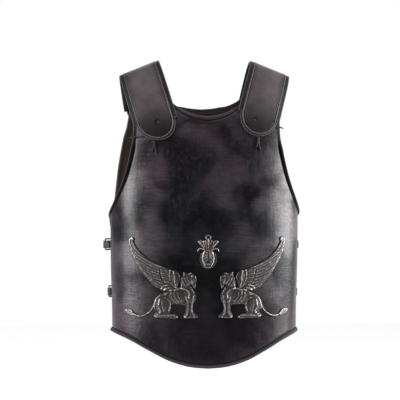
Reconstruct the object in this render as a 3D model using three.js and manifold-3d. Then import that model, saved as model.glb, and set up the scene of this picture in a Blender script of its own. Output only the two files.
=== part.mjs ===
// Leather cuirass: a breastplate and a backplate of thick moulded leather, joined over the shoulders
// by two broad straps and at the sides by four small buckled straps. Two seated griffins and a
// palmette of cast metal are fixed on the belly. Millimetres, +Z up, the front faces -Y and +X is
// the wearer's left. Heights are given as drops below the crest of the shoulder straps.

import * as THREE from 'three';
import { mergeVertices } from 'three/addons/utils/BufferGeometryUtils.js';
import Module from 'manifold-3d';

const wasm = await Module();
wasm.setup();

// Body form: the outer face of both plates lies on it
const chestHalfWidth = 199;
const chestDepth = 132;
const backDepth = 126;
const bottomDrop = 631;
const roundness = 0.83;
// Columns: drop, half width, front depth and back depth, each a share of its size above
const form_shares = [
  [0.06, 1.0, 0.41, 0.42],
  [0.1, 1.0, 0.57, 0.56],
  [0.19, 1.0, 0.81, 0.81],
  [0.27, 1.0, 0.93, 0.95],
  [0.38, 1.0, 1.0, 1.0],
  [0.52, 1.0, 0.99, 0.96],
  [0.68, 0.995, 0.96, 0.89],
  [0.83, 0.982, 0.965, 0.9],
  [1.0, 0.98, 1.03, 0.98],
];

// Leather and fits
const plateThickness = 4.5;
const strapThickness = 4.6;
const seatGap = 0.3;
const softGap = 0.5;
// How far the flat facets of a plate may stand inside its true curve
const facetDip = 0.8;
const overrun = 3;

// Plate edges
const lipRise = 4;
const lipWidth = 9;
const lipFade = 30;
const plateHalfGirth = 300;
const plateHeight = 510;
const sideDrop = 563;
const armholeDrop = 328;
const tabDrop = 66;
const neckHalfWidth = 84;
const tabHalfWidth = 154;
const frontNeckDrop = 118;
const backNeckDrop = 92;
const backBottomDrop = 592;
const frontSideLength = 26;
const backSideLength = 46;

// Shoulder straps
const strapWidth = 88;
const strapEarStep = 5;
const crestOffset = 137.5;
const crestDrop = 13;
const crestFlat = 12;
const crestSlope = THREE.MathUtils.degToRad(22);
const frontEarSlope = { right: THREE.MathUtils.degToRad(11), left: THREE.MathUtils.degToRad(18) };
const rearEarSlope = THREE.MathUtils.degToRad(10.6);
// How far the round end is drawn round, short of a point
const strapEndTurn = THREE.MathUtils.degToRad(85);
// The ears step in over this much of a row
const earStepRow = 0.001;
const strapJoinDrop = 84;
const frontEndDrop = { right: 165, left: 155 };
const frontEndOffset = 95.5;
const rearEndDrop = 128;
const rearEndOffset = 116;
const strapHoleRadius = 2.9;
const strapHoleRise = { right: 36, left: 32 };
// The holes lie a little to the neck's side of the straps' middles
const strapHoleInset = { right: 2, left: 5.5 };
const rearRivetRise = 22;
const rearRivetSpread = 18;

// Buckled side straps
const sideStrapDrops = { upper: 383, lower: 484 };
const billetWidth = 15;
const billetThickness = 2.6;
const billetStart = 2;
const billetTail = 52;
const billetHoleCount = 4;
const billetHoleSpacing = 12;
const billetHoleRadius = 1.7;
const wireRadius = 1.5;
const frameLength = 26;
const chapeWidth = 19;
const chapeLeather = 2.2;
const chapeLength = 42;
const chapeSlotWidth = 5;
const keeperLeather = 1.3;
const keeperLength = 9;
const keeperSetback = 14;
const chapeRivetSetback = 8;
const prongWidth = 2.8;
const prongThickness = 2;
const prongSlotLength = 6.6;
// The prong's loop runs round the heel bar from its back
const prongRingStart = THREE.MathUtils.degToRad(160);
const prongRingTurn = THREE.MathUtils.degToRad(300);
const strapSlack = {
  upper_right: 12,
  lower_right: 5,
  upper_left: 4,
  lower_left: 2,
};

// Rivets
const rivetHeadRadius = 3.6;
const rivetHeadRise = 1.2;
const rivetShankRadius = 1.5;
const rivetTailRadius = 2.8;
const rivetTailRise = 1;

// Cast metal figures
const griffinWidth = 149;
const griffinHeight = 167.5;
const griffinInset = 21;
const griffinBaseDrop = 530;
const palmetteWidth = 46;
const palmetteHeight = 70;
const palmetteBaseDrop = 429;
const castThickness = 2.4;
const castTier = 1.3;
const studRadius = 1.6;
const studTail = 3.2;
const washerRadius = 5;
const washerThickness = 1.2;

// Leather ties
const thongRadius = 1.4;
const tieLength = 26;
const tieSpread = 5;
const tailShare = 0.75;
const tieOffset = { right: 109, left: 104 };
// How far the tilted round end hangs below its middle
const tieSag = { right: 0.8, left: 2 };
// Where the side thong leaves the round end, down from the ear
const sideThongAngle = { right: THREE.MathUtils.degToRad(41), left: THREE.MathUtils.degToRad(12) };
const sideThongFall = 4;
const sideThongGap = 2;

const colours = {
  leather: 0x2a2224,
  strapLeather: 0x453f3d,
  sideLeather: 0x33292a,
  pewter: 0xa8a59c,
  brass: 0x6f6a60,
  thong: 0x1f1a1a,
};
const leatherLook = (color, roughness) => new THREE.MeshStandardMaterial({ color, roughness, metalness: 0 });
const metalLook = (color, roughness) => new THREE.MeshStandardMaterial({ color, roughness, metalness: 1 });
const materials = {
  leather: leatherLook(colours.leather, 0.42),
  strapLeather: leatherLook(colours.strapLeather, 0.62),
  sideLeather: leatherLook(colours.sideLeather, 0.6),
  pewter: metalLook(colours.pewter, 0.38),
  brass: metalLook(colours.brass, 0.4),
  thong: leatherLook(colours.thong, 0.75),
};

const cuirass = new THREE.Group();
const sides = { right: -1, left: 1 };

// Solids

function signedVolume(positions, index) {
  const a = new THREE.Vector3();
  const b = new THREE.Vector3();
  const c = new THREE.Vector3();
  let sum = 0;
  for (let i = 0; i < index.length; i += 3) {
    a.fromArray(positions, 3 * index[i]);
    b.fromArray(positions, 3 * index[i + 1]);
    c.fromArray(positions, 3 * index[i + 2]);
    sum += a.dot(b.cross(c));
  }
  return sum;
}

function solidGeometry(positions, index) {
  const faces = [...index];
  if (signedVolume(positions, faces) < 0) {
    for (let i = 0; i < faces.length; i += 3) {
      [faces[i], faces[i + 1]] = [faces[i + 1], faces[i]];
    }
  }
  const geometry = new THREE.BufferGeometry();
  geometry.setAttribute('position', new THREE.Float32BufferAttribute(positions, 3));
  geometry.setIndex(faces);
  geometry.computeVertexNormals();
  return geometry;
}

// Only the corners, each once, which is what the joins and cuts need
function welded(geometry) {
  const bare = geometry.clone();
  bare.deleteAttribute('normal');
  bare.deleteAttribute('uv');
  return mergeVertices(bare, 1e-4);
}

function toSolid(geometry) {
  const bare = welded(geometry);
  const positions = bare.getAttribute('position').array;
  const checked = solidGeometry(positions, bare.getIndex().array);
  return new wasm.Manifold(
    new wasm.Mesh({
      numProp: 3,
      vertProperties: new Float32Array(positions),
      triVerts: new Uint32Array(checked.getIndex().array),
    }),
  );
}

function toGeometry(solid) {
  const mesh = solid.getMesh();
  return solidGeometry(Array.from(mesh.vertProperties), Array.from(mesh.triVerts));
}

function addPiece(name, geometry, material) {
  const piece = new THREE.Mesh(geometry, material);
  piece.name = name;
  cuirass.add(piece);
  return piece;
}

function withHoles(geometry, tools) {
  let solid = toSolid(geometry);
  tools.forEach((tool) => {
    solid = solid.subtract(toSolid(tool));
  });
  return toGeometry(solid);
}

// A sheet of even thickness: pointAt gives its lying face and normalAt the way it thickens
function sheetGeometry(pointAt, normalAt, columns, rows, low, high) {
  const positions = [];
  const index = [];
  const count = columns.length * rows.length;
  [low, high].forEach((offset) => {
    rows.forEach((v) => {
      columns.forEach((u) => {
        positions.push(...pointAt(u, v).addScaledVector(normalAt(u, v), offset).toArray());
      });
    });
  });
  const at = (i, j, face) => face * count + j * columns.length + i;
  const quad = (a, b, c, d) => index.push(a, b, c, a, c, d);
  for (let j = 0; j + 1 < rows.length; j += 1) {
    for (let i = 0; i + 1 < columns.length; i += 1) {
      quad(at(i, j, 1), at(i + 1, j, 1), at(i + 1, j + 1, 1), at(i, j + 1, 1));
      quad(at(i, j, 0), at(i, j + 1, 0), at(i + 1, j + 1, 0), at(i + 1, j, 0));
    }
  }
  const lastColumn = columns.length - 1;
  const lastRow = rows.length - 1;
  for (let i = 0; i < lastColumn; i += 1) {
    quad(at(i, 0, 0), at(i + 1, 0, 0), at(i + 1, 0, 1), at(i, 0, 1));
    quad(at(i + 1, lastRow, 0), at(i, lastRow, 0), at(i, lastRow, 1), at(i + 1, lastRow, 1));
  }
  for (let j = 0; j < lastRow; j += 1) {
    quad(at(0, j + 1, 0), at(0, j, 0), at(0, j, 1), at(0, j + 1, 1));
    quad(at(lastColumn, j, 0), at(lastColumn, j + 1, 0), at(lastColumn, j + 1, 1), at(lastColumn, j, 1));
  }
  return solidGeometry(positions, index);
}

// Even steps between neighbouring stops
function gridLines(stops, counts) {
  const out = [stops[0]];
  counts.forEach((count, i) => {
    for (let k = 1; k <= count; k += 1) {
      out.push(THREE.MathUtils.lerp(stops[i], stops[i + 1], k / count));
    }
  });
  return out;
}

function mirrored(lines) {
  const half = lines.filter((u) => u > 0);
  return [...half.map((u) => -u).reverse(), 0, ...half];
}

// A closed tube round a ring of points
function ringGeometry(points, radius, ringSides) {
  const positions = [];
  const index = [];
  const n = points.length;
  const middle = points.reduce((sum, p) => sum.add(p), new THREE.Vector3()).divideScalar(n);
  const flat = points[0].clone().sub(middle).cross(points[1].clone().sub(middle)).normalize();
  points.forEach((p, i) => {
    const run = points[(i + 1) % n].clone().sub(points[(i + n - 1) % n]).normalize();
    const out = run.clone().cross(flat).normalize();
    for (let k = 0; k < ringSides; k += 1) {
      const angle = (2 * Math.PI * k) / ringSides;
      const spoke = out.clone().multiplyScalar(Math.cos(angle)).addScaledVector(flat, Math.sin(angle));
      positions.push(...p.clone().addScaledVector(spoke, radius).toArray());
    }
  });
  for (let i = 0; i < n; i += 1) {
    for (let k = 0; k < ringSides; k += 1) {
      const next = (i + 1) % n;
      const turn = (k + 1) % ringSides;
      const a = i * ringSides + k;
      const b = next * ringSides + k;
      const c = next * ringSides + turn;
      const d = i * ringSides + turn;
      index.push(a, b, c, a, c, d);
    }
  }
  return solidGeometry(positions, index);
}

// Body form

function formShare(column, drop) {
  const at = drop / bottomDrop;
  const last = form_shares.length - 1;
  let k = form_shares.findIndex((row) => row[0] > at);
  k = THREE.MathUtils.clamp(k < 0 ? last : k, 1, last) - 1;
  const slope = (i) => {
    const a = form_shares[Math.max(i - 1, 0)];
    const b = form_shares[Math.min(i + 1, last)];
    return (b[column] - a[column]) / (b[0] - a[0]);
  };
  const [a, b] = [form_shares[k], form_shares[k + 1]];
  const run = b[0] - a[0];
  const t = (at - a[0]) / run;
  const rise = 3 * t * t - 2 * t * t * t;
  const bend = run * ((t * t * t - 2 * t * t + t) * slope(k) + (t * t * t - t * t) * slope(k + 1));
  return a[column] + (b[column] - a[column]) * rise + bend;
}

const rounded = (value) => Math.sign(value) * Math.abs(value) ** roundness;

// A turn of 0 is the front middle, a quarter turn the wearer's left side and a half turn the back
function bodyPoint(turn, drop) {
  const halfWidth = chestHalfWidth * formShare(1, drop);
  const front = chestDepth * formShare(2, drop);
  const back = backDepth * formShare(3, drop);
  const across = Math.cos(turn);
  const depth = across > 0 ? front : back;
  return new THREE.Vector3(halfWidth * rounded(Math.sin(turn)), -depth * rounded(across), -drop);
}

function bodyNormal(turn, drop) {
  const turnStep = 0.01;
  const dropStep = bottomDrop / 300;
  const round = bodyPoint(turn + turnStep, drop).sub(bodyPoint(turn - turnStep, drop));
  const rise = bodyPoint(turn, drop - dropStep).sub(bodyPoint(turn, drop + dropStep));
  return round.cross(rise).normalize();
}

function turnAt(x, drop) {
  const share = Math.min(Math.abs(x) / (chestHalfWidth * formShare(1, drop)), 1);
  return Math.sign(x) * Math.asin(share ** (1 / roundness));
}

// The turn reached by walking round the form from its widest line towards the back
function turnBehindSide(length, drop) {
  const step = 0.002;
  let turn = Math.PI / 2;
  let walked = 0;
  let here = bodyPoint(turn, drop);
  while (walked < length) {
    const next = bodyPoint(turn + step, drop);
    walked += next.distanceTo(here);
    here = next;
    turn += step;
  }
  return turn;
}

// Plates: each half is a patch between four edges, in turn and drop

const frontSideTurn = turnBehindSide(frontSideLength, sideDrop);
const backSideTurn = Math.PI - turnBehindSide(backSideLength, sideDrop);

const plates = {
  front: {
    sideTurn: frontSideTurn,
    neckDrop: frontNeckDrop,
    lowDrop: bottomDrop,
    armholeTurnShares: [1, 0.95, 0.835, 0.7, 0.577, 0.503, 0.472, 0.468, 0.462],
    armholeDropShares: [1, 0.982, 0.954, 0.885, 0.765, 0.62, 0.5, 0.36, 0.2],
  },
  back: {
    sideTurn: backSideTurn,
    neckDrop: backNeckDrop,
    lowDrop: backBottomDrop,
    armholeTurnShares: [1, 0.985, 0.945, 0.9, 0.86, 0.79, 0.73, 0.69, 0.665],
    armholeDropShares: [1, 0.96, 0.87, 0.76, 0.66, 0.52, 0.4, 0.3, 0.2],
  },
};
const neckAcrossShares = [0, 0.35, 0.66, 0.85, 0.96, 1];
const neckRiseShares = [0, 0.1, 0.34, 0.6, 0.83, 1];
const bottomTurnShares = [0, 0.075, 0.19, 0.33, 0.51, 0.75, 1];
const bottomRiseShares = [0, 0.045, 0.21, 0.5, 0.81, 0.985, 1];

// Edge curves hold the turn as a length round the form, so that steps along them are even
function edgeCurve(points) {
  return new THREE.CatmullRomCurve3(
    points.map(([turn, drop]) => new THREE.Vector3(turn * chestHalfWidth, drop, 0)),
    false,
    'centripetal',
  );
}

function plateEdges(plate) {
  const neckAt = (share, rise) => {
    const drop = THREE.MathUtils.lerp(plate.neckDrop, tabDrop, rise);
    return [turnAt(neckHalfWidth * share, drop), drop];
  };
  const tabTurn = turnAt(tabHalfWidth, tabDrop);
  const neck = edgeCurve(neckAcrossShares.map((share, i) => neckAt(share, neckRiseShares[i])));
  const tab = edgeCurve([neckAt(1, 1), [tabTurn, tabDrop]]);
  const bottom = edgeCurve(
    bottomTurnShares.map((share, i) => [
      share * plate.sideTurn,
      THREE.MathUtils.lerp(plate.lowDrop, sideDrop, bottomRiseShares[i]),
    ]),
  );
  const armholeEnd = plate.armholeTurnShares.length - 1;
  const armhole = edgeCurve(
    plate.armholeTurnShares.map((share, i) => {
      if (i === armholeEnd) return [tabTurn, tabDrop];
      return [share * plate.sideTurn, plate.armholeDropShares[i] * armholeDrop];
    }),
  );
  const side = edgeCurve([
    [plate.sideTurn, sideDrop],
    [plate.sideTurn, armholeDrop],
  ]);
  return { neck, tab, bottom, armhole, side };
}

// Two curves end to end, as one edge from 0 to 1
function joinedEdge(first, second) {
  const share = first.getLength() / (first.getLength() + second.getLength());
  const at = (t) => {
    if (t < share) return first.getPointAt(t / share);
    return second.getPointAt(Math.min((t - share) / (1 - share), 1));
  };
  return { share, at };
}

function makePlate(name) {
  const plate = plates[name];
  const edges = plateEdges(plate);
  const outer = joinedEdge(edges.side, edges.armhole);
  const top = joinedEdge(edges.neck, edges.tab);
  const inner = (v) => new THREE.Vector3(0, THREE.MathUtils.lerp(plate.lowDrop, plate.neckDrop, v), 0);
  const bottom = (u) => edges.bottom.getPointAt(u);
  const corners = [bottom(0), bottom(1), top.at(0), top.at(1)];

  const patchAt = (u, v) => {
    const place = bottom(u).multiplyScalar(1 - v).addScaledVector(top.at(u), v);
    place.addScaledVector(inner(v), 1 - u).addScaledVector(outer.at(v), u);
    place.addScaledVector(corners[0], -(1 - u) * (1 - v)).addScaledVector(corners[1], -u * (1 - v));
    place.addScaledVector(corners[2], -(1 - u) * v).addScaledVector(corners[3], -u * v);
    return { turn: place.x / chestHalfWidth, drop: place.y };
  };

  const lipU = lipWidth / plateHalfGirth;
  const lipV = lipWidth / plateHeight;
  const fadeU = lipFade / plateHalfGirth;
  const fadeV = lipFade / plateHeight;
  const strapStart = THREE.MathUtils.lerp(outer.share, 1, 0.66);
  const fade = THREE.MathUtils.smoothstep;
  const curl = (share) => THREE.MathUtils.clamp(share, 0, 1) ** 2;
  const lipAt = (u, v) => {
    const armhole = fade(v, outer.share - fadeV, outer.share) * (1 - fade(v, strapStart, strapStart + fadeV));
    const neck = 1 - fade(u, top.share - 3 * fadeU, top.share - 2 * fadeU);
    const fromArmhole = curl(1 - (1 - u) / lipU) * armhole;
    const fromNeck = curl(1 - (1 - v) / lipV) * neck;
    return lipRise * Math.max(fromArmhole, fromNeck, curl(1 - v / lipV));
  };
  const spot = (u, v) => {
    const { turn, drop } = patchAt(Math.abs(u), v);
    const signed = Math.sign(u) * turn;
    return { turn: name === 'front' ? signed : Math.PI - signed, drop };
  };
  const normalAt = (u, v) => {
    const { turn, drop } = spot(u, v);
    return bodyNormal(turn, drop);
  };
  const pointAt = (u, v) => {
    const { turn, drop } = spot(u, v);
    return bodyPoint(turn, drop).addScaledVector(bodyNormal(turn, drop), lipAt(Math.abs(u), v));
  };
  const sideBand = THREE.MathUtils.lerp(top.share, 1, 0.5);
  const columns = mirrored(gridLines([0, top.share, sideBand, 1 - lipU, 1], [4, 2, 4, 1]));
  const rows = gridLines([0, lipV, outer.share, strapStart, 1 - lipV, 1], [1, 5, 6, 3, 1]);
  return (low, high) => sheetGeometry(pointAt, normalAt, columns, rows, low, high);
}

const frontLayer = makePlate('front');
const backLayer = makePlate('back');

// Shoulder straps: each is modelled as two halves that meet at the crest

function strapSheet(side, half) {
  const front = half === 'front';
  const sign = sides[side];
  const endDrop = front ? frontEndDrop[side] : rearEndDrop;
  const endOffset = front ? frontEndOffset : rearEndOffset;
  const earSlope = front ? frontEarSlope[side] : rearEarSlope;
  const halfWidth = strapWidth / 2;
  const endRadius = halfWidth - strapEarStep;
  const earDrop = endDrop - endRadius;
  const lean = (crestOffset - endOffset) / (endDrop - crestDrop);
  const facing = front ? -1 : 1;

  // On the plate the strap's middle goes down by drop, and t is the distance from it
  const lying = (middleDrop, t) => {
    const slope = THREE.MathUtils.mapLinear(middleDrop, crestDrop, earDrop, crestSlope, earSlope);
    const x = endOffset + lean * (endDrop - middleDrop) + t * Math.cos(slope);
    const drop = middleDrop + t * Math.sin(slope);
    const turn = turnAt(sign * x, drop);
    return bodyPoint(front ? turn : Math.PI - turn, drop);
  };
  const crest = (forward, t) =>
    new THREE.Vector3(
      sign * (crestOffset + t * Math.cos(crestSlope)),
      facing * forward,
      -crestDrop - t * Math.sin(crestSlope),
    );
  const bridge = (share, t) => {
    const start = crest(crestFlat, t);
    const end = lying(strapJoinDrop, t);
    const stretch = start.distanceTo(end);
    const leave = new THREE.Vector3(0, facing * stretch, 0);
    const below = lying(strapJoinDrop + seatGap, t);
    const arrive = below.sub(end).normalize().multiplyScalar(stretch);
    const [a, b] = [share, share * share];
    const c = b * share;
    return start
      .multiplyScalar(2 * c - 3 * b + 1)
      .addScaledVector(leave, c - 2 * b + a)
      .addScaledVector(end, 3 * b - 2 * c)
      .addScaledVector(arrive, c - b);
  };

  // Rows run from the crest, one unit each for the flat, the bridge, the lying part and the end
  const endAngle = (row) => (row - 3) * strapEndTurn;
  const widthAt = (row) => (row <= 3 ? halfWidth : endRadius * Math.cos(endAngle(row)));
  const pointAt = (across, row) => {
    const t = across * widthAt(row);
    if (row <= 1) return crest(THREE.MathUtils.lerp(softGap / 2, crestFlat, row), t);
    if (row <= 2) return bridge(row - 1, t);
    if (row <= 3) return lying(THREE.MathUtils.lerp(strapJoinDrop, earDrop, row - 2), t);
    return lying(earDrop + endRadius * Math.sin(endAngle(row)), t);
  };
  const normalAt = (across, row) => {
    const step = 0.02;
    const wide = pointAt(Math.min(across + step, 1), row).sub(pointAt(Math.max(across - step, -1), row));
    const low = row - step < 0 ? 0 : row - step;
    const long = pointAt(across, Math.min(row + step, 4)).sub(pointAt(across, low));
    const normal = wide.cross(long).normalize();
    const outward = pointAt(across, row).sub(new THREE.Vector3(0, 0, -frontEndDrop.right));
    return normal.dot(outward) < 0 ? normal.negate() : normal;
  };
  return { pointAt, normalAt, lying, earDrop, endRadius };
}

function shoulderStrapGeometry(strap) {
  const columns = gridLines([-1, 1], [6]);
  const rows = [...gridLines([0, 1, 2, 3], [1, 6, 3]), 3 + earStepRow, ...gridLines([3, 4], [5]).slice(1)];
  return sheetGeometry(strap.pointAt, strap.normalAt, columns, rows, softGap, softGap + strapThickness);
}

// Places: an origin on the body and the way out of it

function bodySpot(x, drop, back) {
  const turn = turnAt(x, drop);
  const at = back ? Math.PI - turn : turn;
  return { origin: bodyPoint(at, drop), out: bodyNormal(at, drop) };
}

const lengthways = new THREE.Vector3(0, 1, 0);

// A piece made along +Y, stood on a spot with +Y pointing out
function standOn(geometry, spot) {
  const turned = new THREE.Quaternion().setFromUnitVectors(lengthways, spot.out);
  return geometry.clone().applyQuaternion(turned).translate(...spot.origin.toArray());
}

function addStanding(name, geometry, material, spot) {
  const piece = addPiece(name, geometry, material);
  piece.quaternion.setFromUnitVectors(lengthways, spot.out);
  piece.position.copy(spot.origin);
}

function latheOf(profile, latheSides) {
  const geometry = new THREE.LatheGeometry(profile.map(([r, y]) => new THREE.Vector2(r, y)), latheSides);
  const bare = welded(geometry);
  return solidGeometry(bare.getAttribute('position').array, bare.getIndex().array);
}

function holeTool(radius, from, to, holeSides = 6) {
  const length = to - from;
  return new THREE.CylinderGeometry(radius, radius, length, holeSides).translate(0, from + length / 2, 0);
}

// Rivets: the head's underside is at 0 and the shank runs inwards through the grip

function rivetGeometry(grip) {
  return latheOf(
    [
      [0, -grip - rivetTailRise],
      [rivetTailRadius, -grip - rivetTailRise],
      [rivetTailRadius, -grip],
      [rivetShankRadius, -grip],
      [rivetShankRadius, 0],
      [rivetHeadRadius, 0],
      [rivetHeadRadius * 0.75, rivetHeadRise * 0.75],
      [0, rivetHeadRise],
    ],
    8,
  );
}

const rivetHole = rivetShankRadius + seatGap;

// Buckled side straps: the path is the middle of the billet, seen from above

const heelDepth = billetThickness / 2 + seatGap + wireRadius + seatGap + chapeLeather;
// How far the straight stretch cuts inside the curve of the body
const straightDip = 3;
const billetStand = softGap + billetThickness / 2;
// Between the chape and the backplate, over the plate's flat facets
const chapeGap = 0.9;
const tailStand = chapeGap + chapeLeather + heelDepth;
const heelStand = heelDepth + wireRadius + seatGap + chapeLeather + straightDip;
const billetRivetSetback = 6;
const billetLiftOff = 12;
const straightStart = 26;
const straightEnd = 68;
const straightShares = [0.1, 0.5, 0.9];
const heelSetback = 11;
const slackCarry = 0.45;
const tailStops = [86, 99, 112];
const frontBarRise = billetThickness / 2 + seatGap + wireRadius;

function sideStrap(level, side) {
  const drop = sideStrapDrops[level];
  const slack = strapSlack[`${level}_${side}`];
  const sign = sides[side];
  const stood = (length, stand) => {
    const turn = turnBehindSide(length, drop);
    return bodyPoint(turn, drop).addScaledVector(bodyNormal(turn, drop).setZ(0).normalize(), stand);
  };
  const start = stood(straightStart, billetStand + straightDip + slack);
  const end = stood(straightEnd, heelStand + slackCarry * slack);
  const curve = new THREE.CatmullRomCurve3(
    [
      stood(billetStart, billetStand),
      stood(billetRivetSetback + billetStart, billetStand),
      stood(billetLiftOff, billetStand),
      start,
      ...straightShares.map((share) => start.clone().lerp(end, share)),
      end,
      ...tailStops.map((length) => stood(length, tailStand)),
    ],
    false,
    'centripetal',
  );
  const total = curve.getLength();
  const nearest = (target) => {
    const steps = gridLines([0, 1], [400]);
    const gap = (t) => curve.getPointAt(t).distanceTo(target);
    return steps.reduce((best, t) => (gap(t) < gap(best) ? t : best), 0) * total;
  };
  const heel = nearest(end) - heelSetback;

  // The band leans with the plate that it lies on
  const leanAt = (share) => {
    const turn = turnBehindSide(THREE.MathUtils.lerp(billetRivetSetback, tailStops[1], share), drop);
    const half = billetWidth / 2;
    return bodyPoint(turn, drop - half).sub(bodyPoint(turn, drop + half));
  };
  const axesAt = (u) => {
    const share = THREE.MathUtils.clamp(u / total, 0, 1);
    const along = curve.getTangentAt(share);
    const rise = leanAt(share);
    rise.addScaledVector(along, -rise.dot(along)).normalize();
    return { along, rise, out: along.clone().cross(rise) };
  };
  const mirror = new THREE.Vector3(sign, 1, 1);
  const place = (u, w, dz) => {
    const { along, rise, out } = axesAt(u);
    const over = u - THREE.MathUtils.clamp(u, 0, total);
    const point = curve.getPointAt(THREE.MathUtils.clamp(u / total, 0, 1));
    point.addScaledVector(along, over).addScaledVector(out, w).addScaledVector(rise, dz);
    return point.multiply(mirror);
  };
  const outAt = (u) => axesAt(u).out.multiply(mirror);
  const basisAt = (u, w) => {
    const { along, out } = axesAt(u);
    const x = along.multiply(mirror);
    const y = out.multiply(mirror);
    const matrix = new THREE.Matrix4().makeBasis(x, y, x.clone().cross(y));
    return matrix.setPosition(place(u, w, 0));
  };
  const spotAt = (u, w, dz) => ({ origin: place(u, w, dz), out: outAt(u) });
  return { heel, total, place, outAt, basisAt, spotAt };
}

// A flat outline in path length and height off the path, given the strap's width and bent along it
function bentBand(strap, shape, width) {
  const options = { depth: width, bevelEnabled: false, curveSegments: 5 };
  const geometry = new THREE.ExtrudeGeometry(shape, options);
  const bare = welded(geometry.translate(0, 0, -width / 2));
  const spots = bare.getAttribute('position');
  const positions = [];
  for (let i = 0; i < spots.count; i += 1) {
    positions.push(...strap.place(spots.getX(i), spots.getY(i), spots.getZ(i)).toArray());
  }
  return solidGeometry(positions, bare.getIndex().array);
}

function chapeShape(strap) {
  const barHole = wireRadius + seatGap;
  const fold = barHole + chapeLeather;
  const end = strap.heel + chapeLength;
  const joinAngle = Math.PI / 3;
  const flatStart = strap.heel + 2 * fold;
  const shape = new THREE.Shape();
  shape.absarc(strap.heel, -heelDepth, fold, joinAngle, 2 * Math.PI - joinAngle, false);
  gridLines([flatStart, end], [5]).forEach((u) => shape.lineTo(u, -heelDepth - chapeLeather));
  gridLines([end, flatStart], [5]).forEach((u) => shape.lineTo(u, -heelDepth + chapeLeather));
  const hole = new THREE.Path();
  hole.absarc(strap.heel, -heelDepth, barHole, 0, 2 * Math.PI, true);
  shape.holes.push(hole);
  return shape;
}

function boxTool(basis, low, high) {
  const size = high.clone().sub(low);
  const middle = low.clone().add(high).divideScalar(2);
  return new THREE.BoxGeometry(...size.toArray()).translate(...middle.toArray()).applyMatrix4(basis);
}

const frameReach = Math.sqrt(frameLength ** 2 - (heelDepth + frontBarRise) ** 2);

// The frame lies in its own plane from the heel bar (at the origin) to the front bar
function frameGeometry() {
  const corner = 1.5 * wireRadius;
  const half = chapeWidth / 2 + softGap + wireRadius - corner;
  const centres = [
    [frameLength - corner, half],
    [corner, half],
    [corner, -half],
    [frameLength - corner, -half],
  ];
  const points = centres.flatMap(([forward, across], quarter) =>
    gridLines([0, 1], [3]).map((t) => {
      const angle = ((quarter + t) * Math.PI) / 2;
      const reach = (forward + corner * Math.cos(angle)) / frameLength;
      const wide = across + corner * Math.sin(angle);
      return new THREE.Vector3(-reach * frameReach, reach * (heelDepth + frontBarRise), wide);
    }),
  );
  return ringGeometry(points, wireRadius, 6);
}

// The prong hangs on the heel bar, rises through the billet and rests on the front bar
function prongGeometry() {
  const eye = wireRadius + seatGap;
  const ring = eye + prongThickness * 0.65;
  const rest = heelDepth + frontBarRise + wireRadius + seatGap;
  const tip = -frameReach - wireRadius;
  const knee = heelDepth + billetThickness;
  const shape = new THREE.Shape();
  shape.absarc(0, 0, ring, prongRingStart, prongRingStart + prongRingTurn, false);
  shape.lineTo(-ring + 0.2 * prongThickness, knee + 0.9 * prongThickness);
  shape.lineTo(tip, rest + 0.8 * prongThickness);
  shape.lineTo(tip, rest);
  shape.lineTo(-ring - 0.9 * prongThickness, knee);
  const hole = new THREE.Path();
  hole.absarc(0, 0, eye, 0, 2 * Math.PI, true);
  shape.holes.push(hole);
  const options = { depth: prongWidth, bevelEnabled: false, curveSegments: 7 };
  const geometry = new THREE.ExtrudeGeometry(shape, options);
  return welded(geometry.translate(0, 0, -prongWidth / 2));
}

function keeperGeometry() {
  const foot = -heelDepth + chapeLeather + seatGap;
  const inner = billetWidth / 2 + softGap;
  const roof = billetThickness / 2 + softGap;
  const outer = inner + keeperLeather;
  const shape = new THREE.Shape();
  shape.moveTo(-outer, foot);
  shape.lineTo(-outer, roof + keeperLeather);
  shape.lineTo(outer, roof + keeperLeather);
  shape.lineTo(outer, foot);
  shape.lineTo(inner, foot);
  shape.lineTo(inner, roof);
  shape.lineTo(-inner, roof);
  shape.lineTo(-inner, foot);
  const geometry = new THREE.ExtrudeGeometry(shape, { depth: keeperLength, bevelEnabled: false });
  return geometry.translate(0, 0, -keeperLength / 2).rotateY(Math.PI / 2);
}

function chapeGeometry(strap) {
  const fold = wireRadius + seatGap + chapeLeather;
  const band = bentBand(strap, chapeShape(strap), chapeWidth);
  const low = new THREE.Vector3(-fold - overrun, -fold - overrun, -chapeSlotWidth / 2);
  const high = new THREE.Vector3(2 * fold, fold + overrun, chapeSlotWidth / 2);
  return withHoles(band, [boxTool(strap.basisAt(strap.heel, -heelDepth), low, high)]);
}

function billetGeometry(strap) {
  const end = strap.heel + billetTail;
  const half = billetWidth / 2;
  const widthAt = (u) => {
    const into = THREE.MathUtils.clamp((u - end + half) / half, 0, 0.985);
    return half * Math.sqrt(1 - into ** 2);
  };
  const pointAt = (across, u) => strap.place(u, 0, across * widthAt(u));
  const normalAt = (across, u) => strap.outAt(u);
  const rows = gridLines([0, strap.heel, end - half, end], [7, 4, 3]);
  const band = sheetGeometry(pointAt, normalAt, [-1, 1], rows, -billetThickness / 2, billetThickness / 2);
  const holes = Array.from({ length: billetHoleCount }, (_, k) =>
    holeTool(billetHoleRadius, -billetThickness, billetThickness).applyMatrix4(
      strap.basisAt(strap.heel + (k + 1) * billetHoleSpacing, 0),
    ),
  );
  const slotBack = wireRadius / 2;
  const slotFront = slotBack + prongSlotLength;
  const low = new THREE.Vector3(-slotFront, -billetThickness, -prongWidth / 2 - softGap);
  const high = new THREE.Vector3(-slotBack, billetThickness, prongWidth / 2 + softGap);
  return withHoles(band, [...holes, boxTool(strap.basisAt(strap.heel, 0), low, high)]);
}

// Cast figures: flat outlines, seen from the front, pressed onto the breastplate in tiers

function closedOutline(points, place) {
  const curve = new THREE.CatmullRomCurve3(
    points.map(([x, z]) => new THREE.Vector3(...place(x, z), 0)),
    true,
    'centripetal',
  );
  return new THREE.Shape(curve.getPoints(points.length).map((p) => new THREE.Vector2(p.x, p.y)));
}

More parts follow.
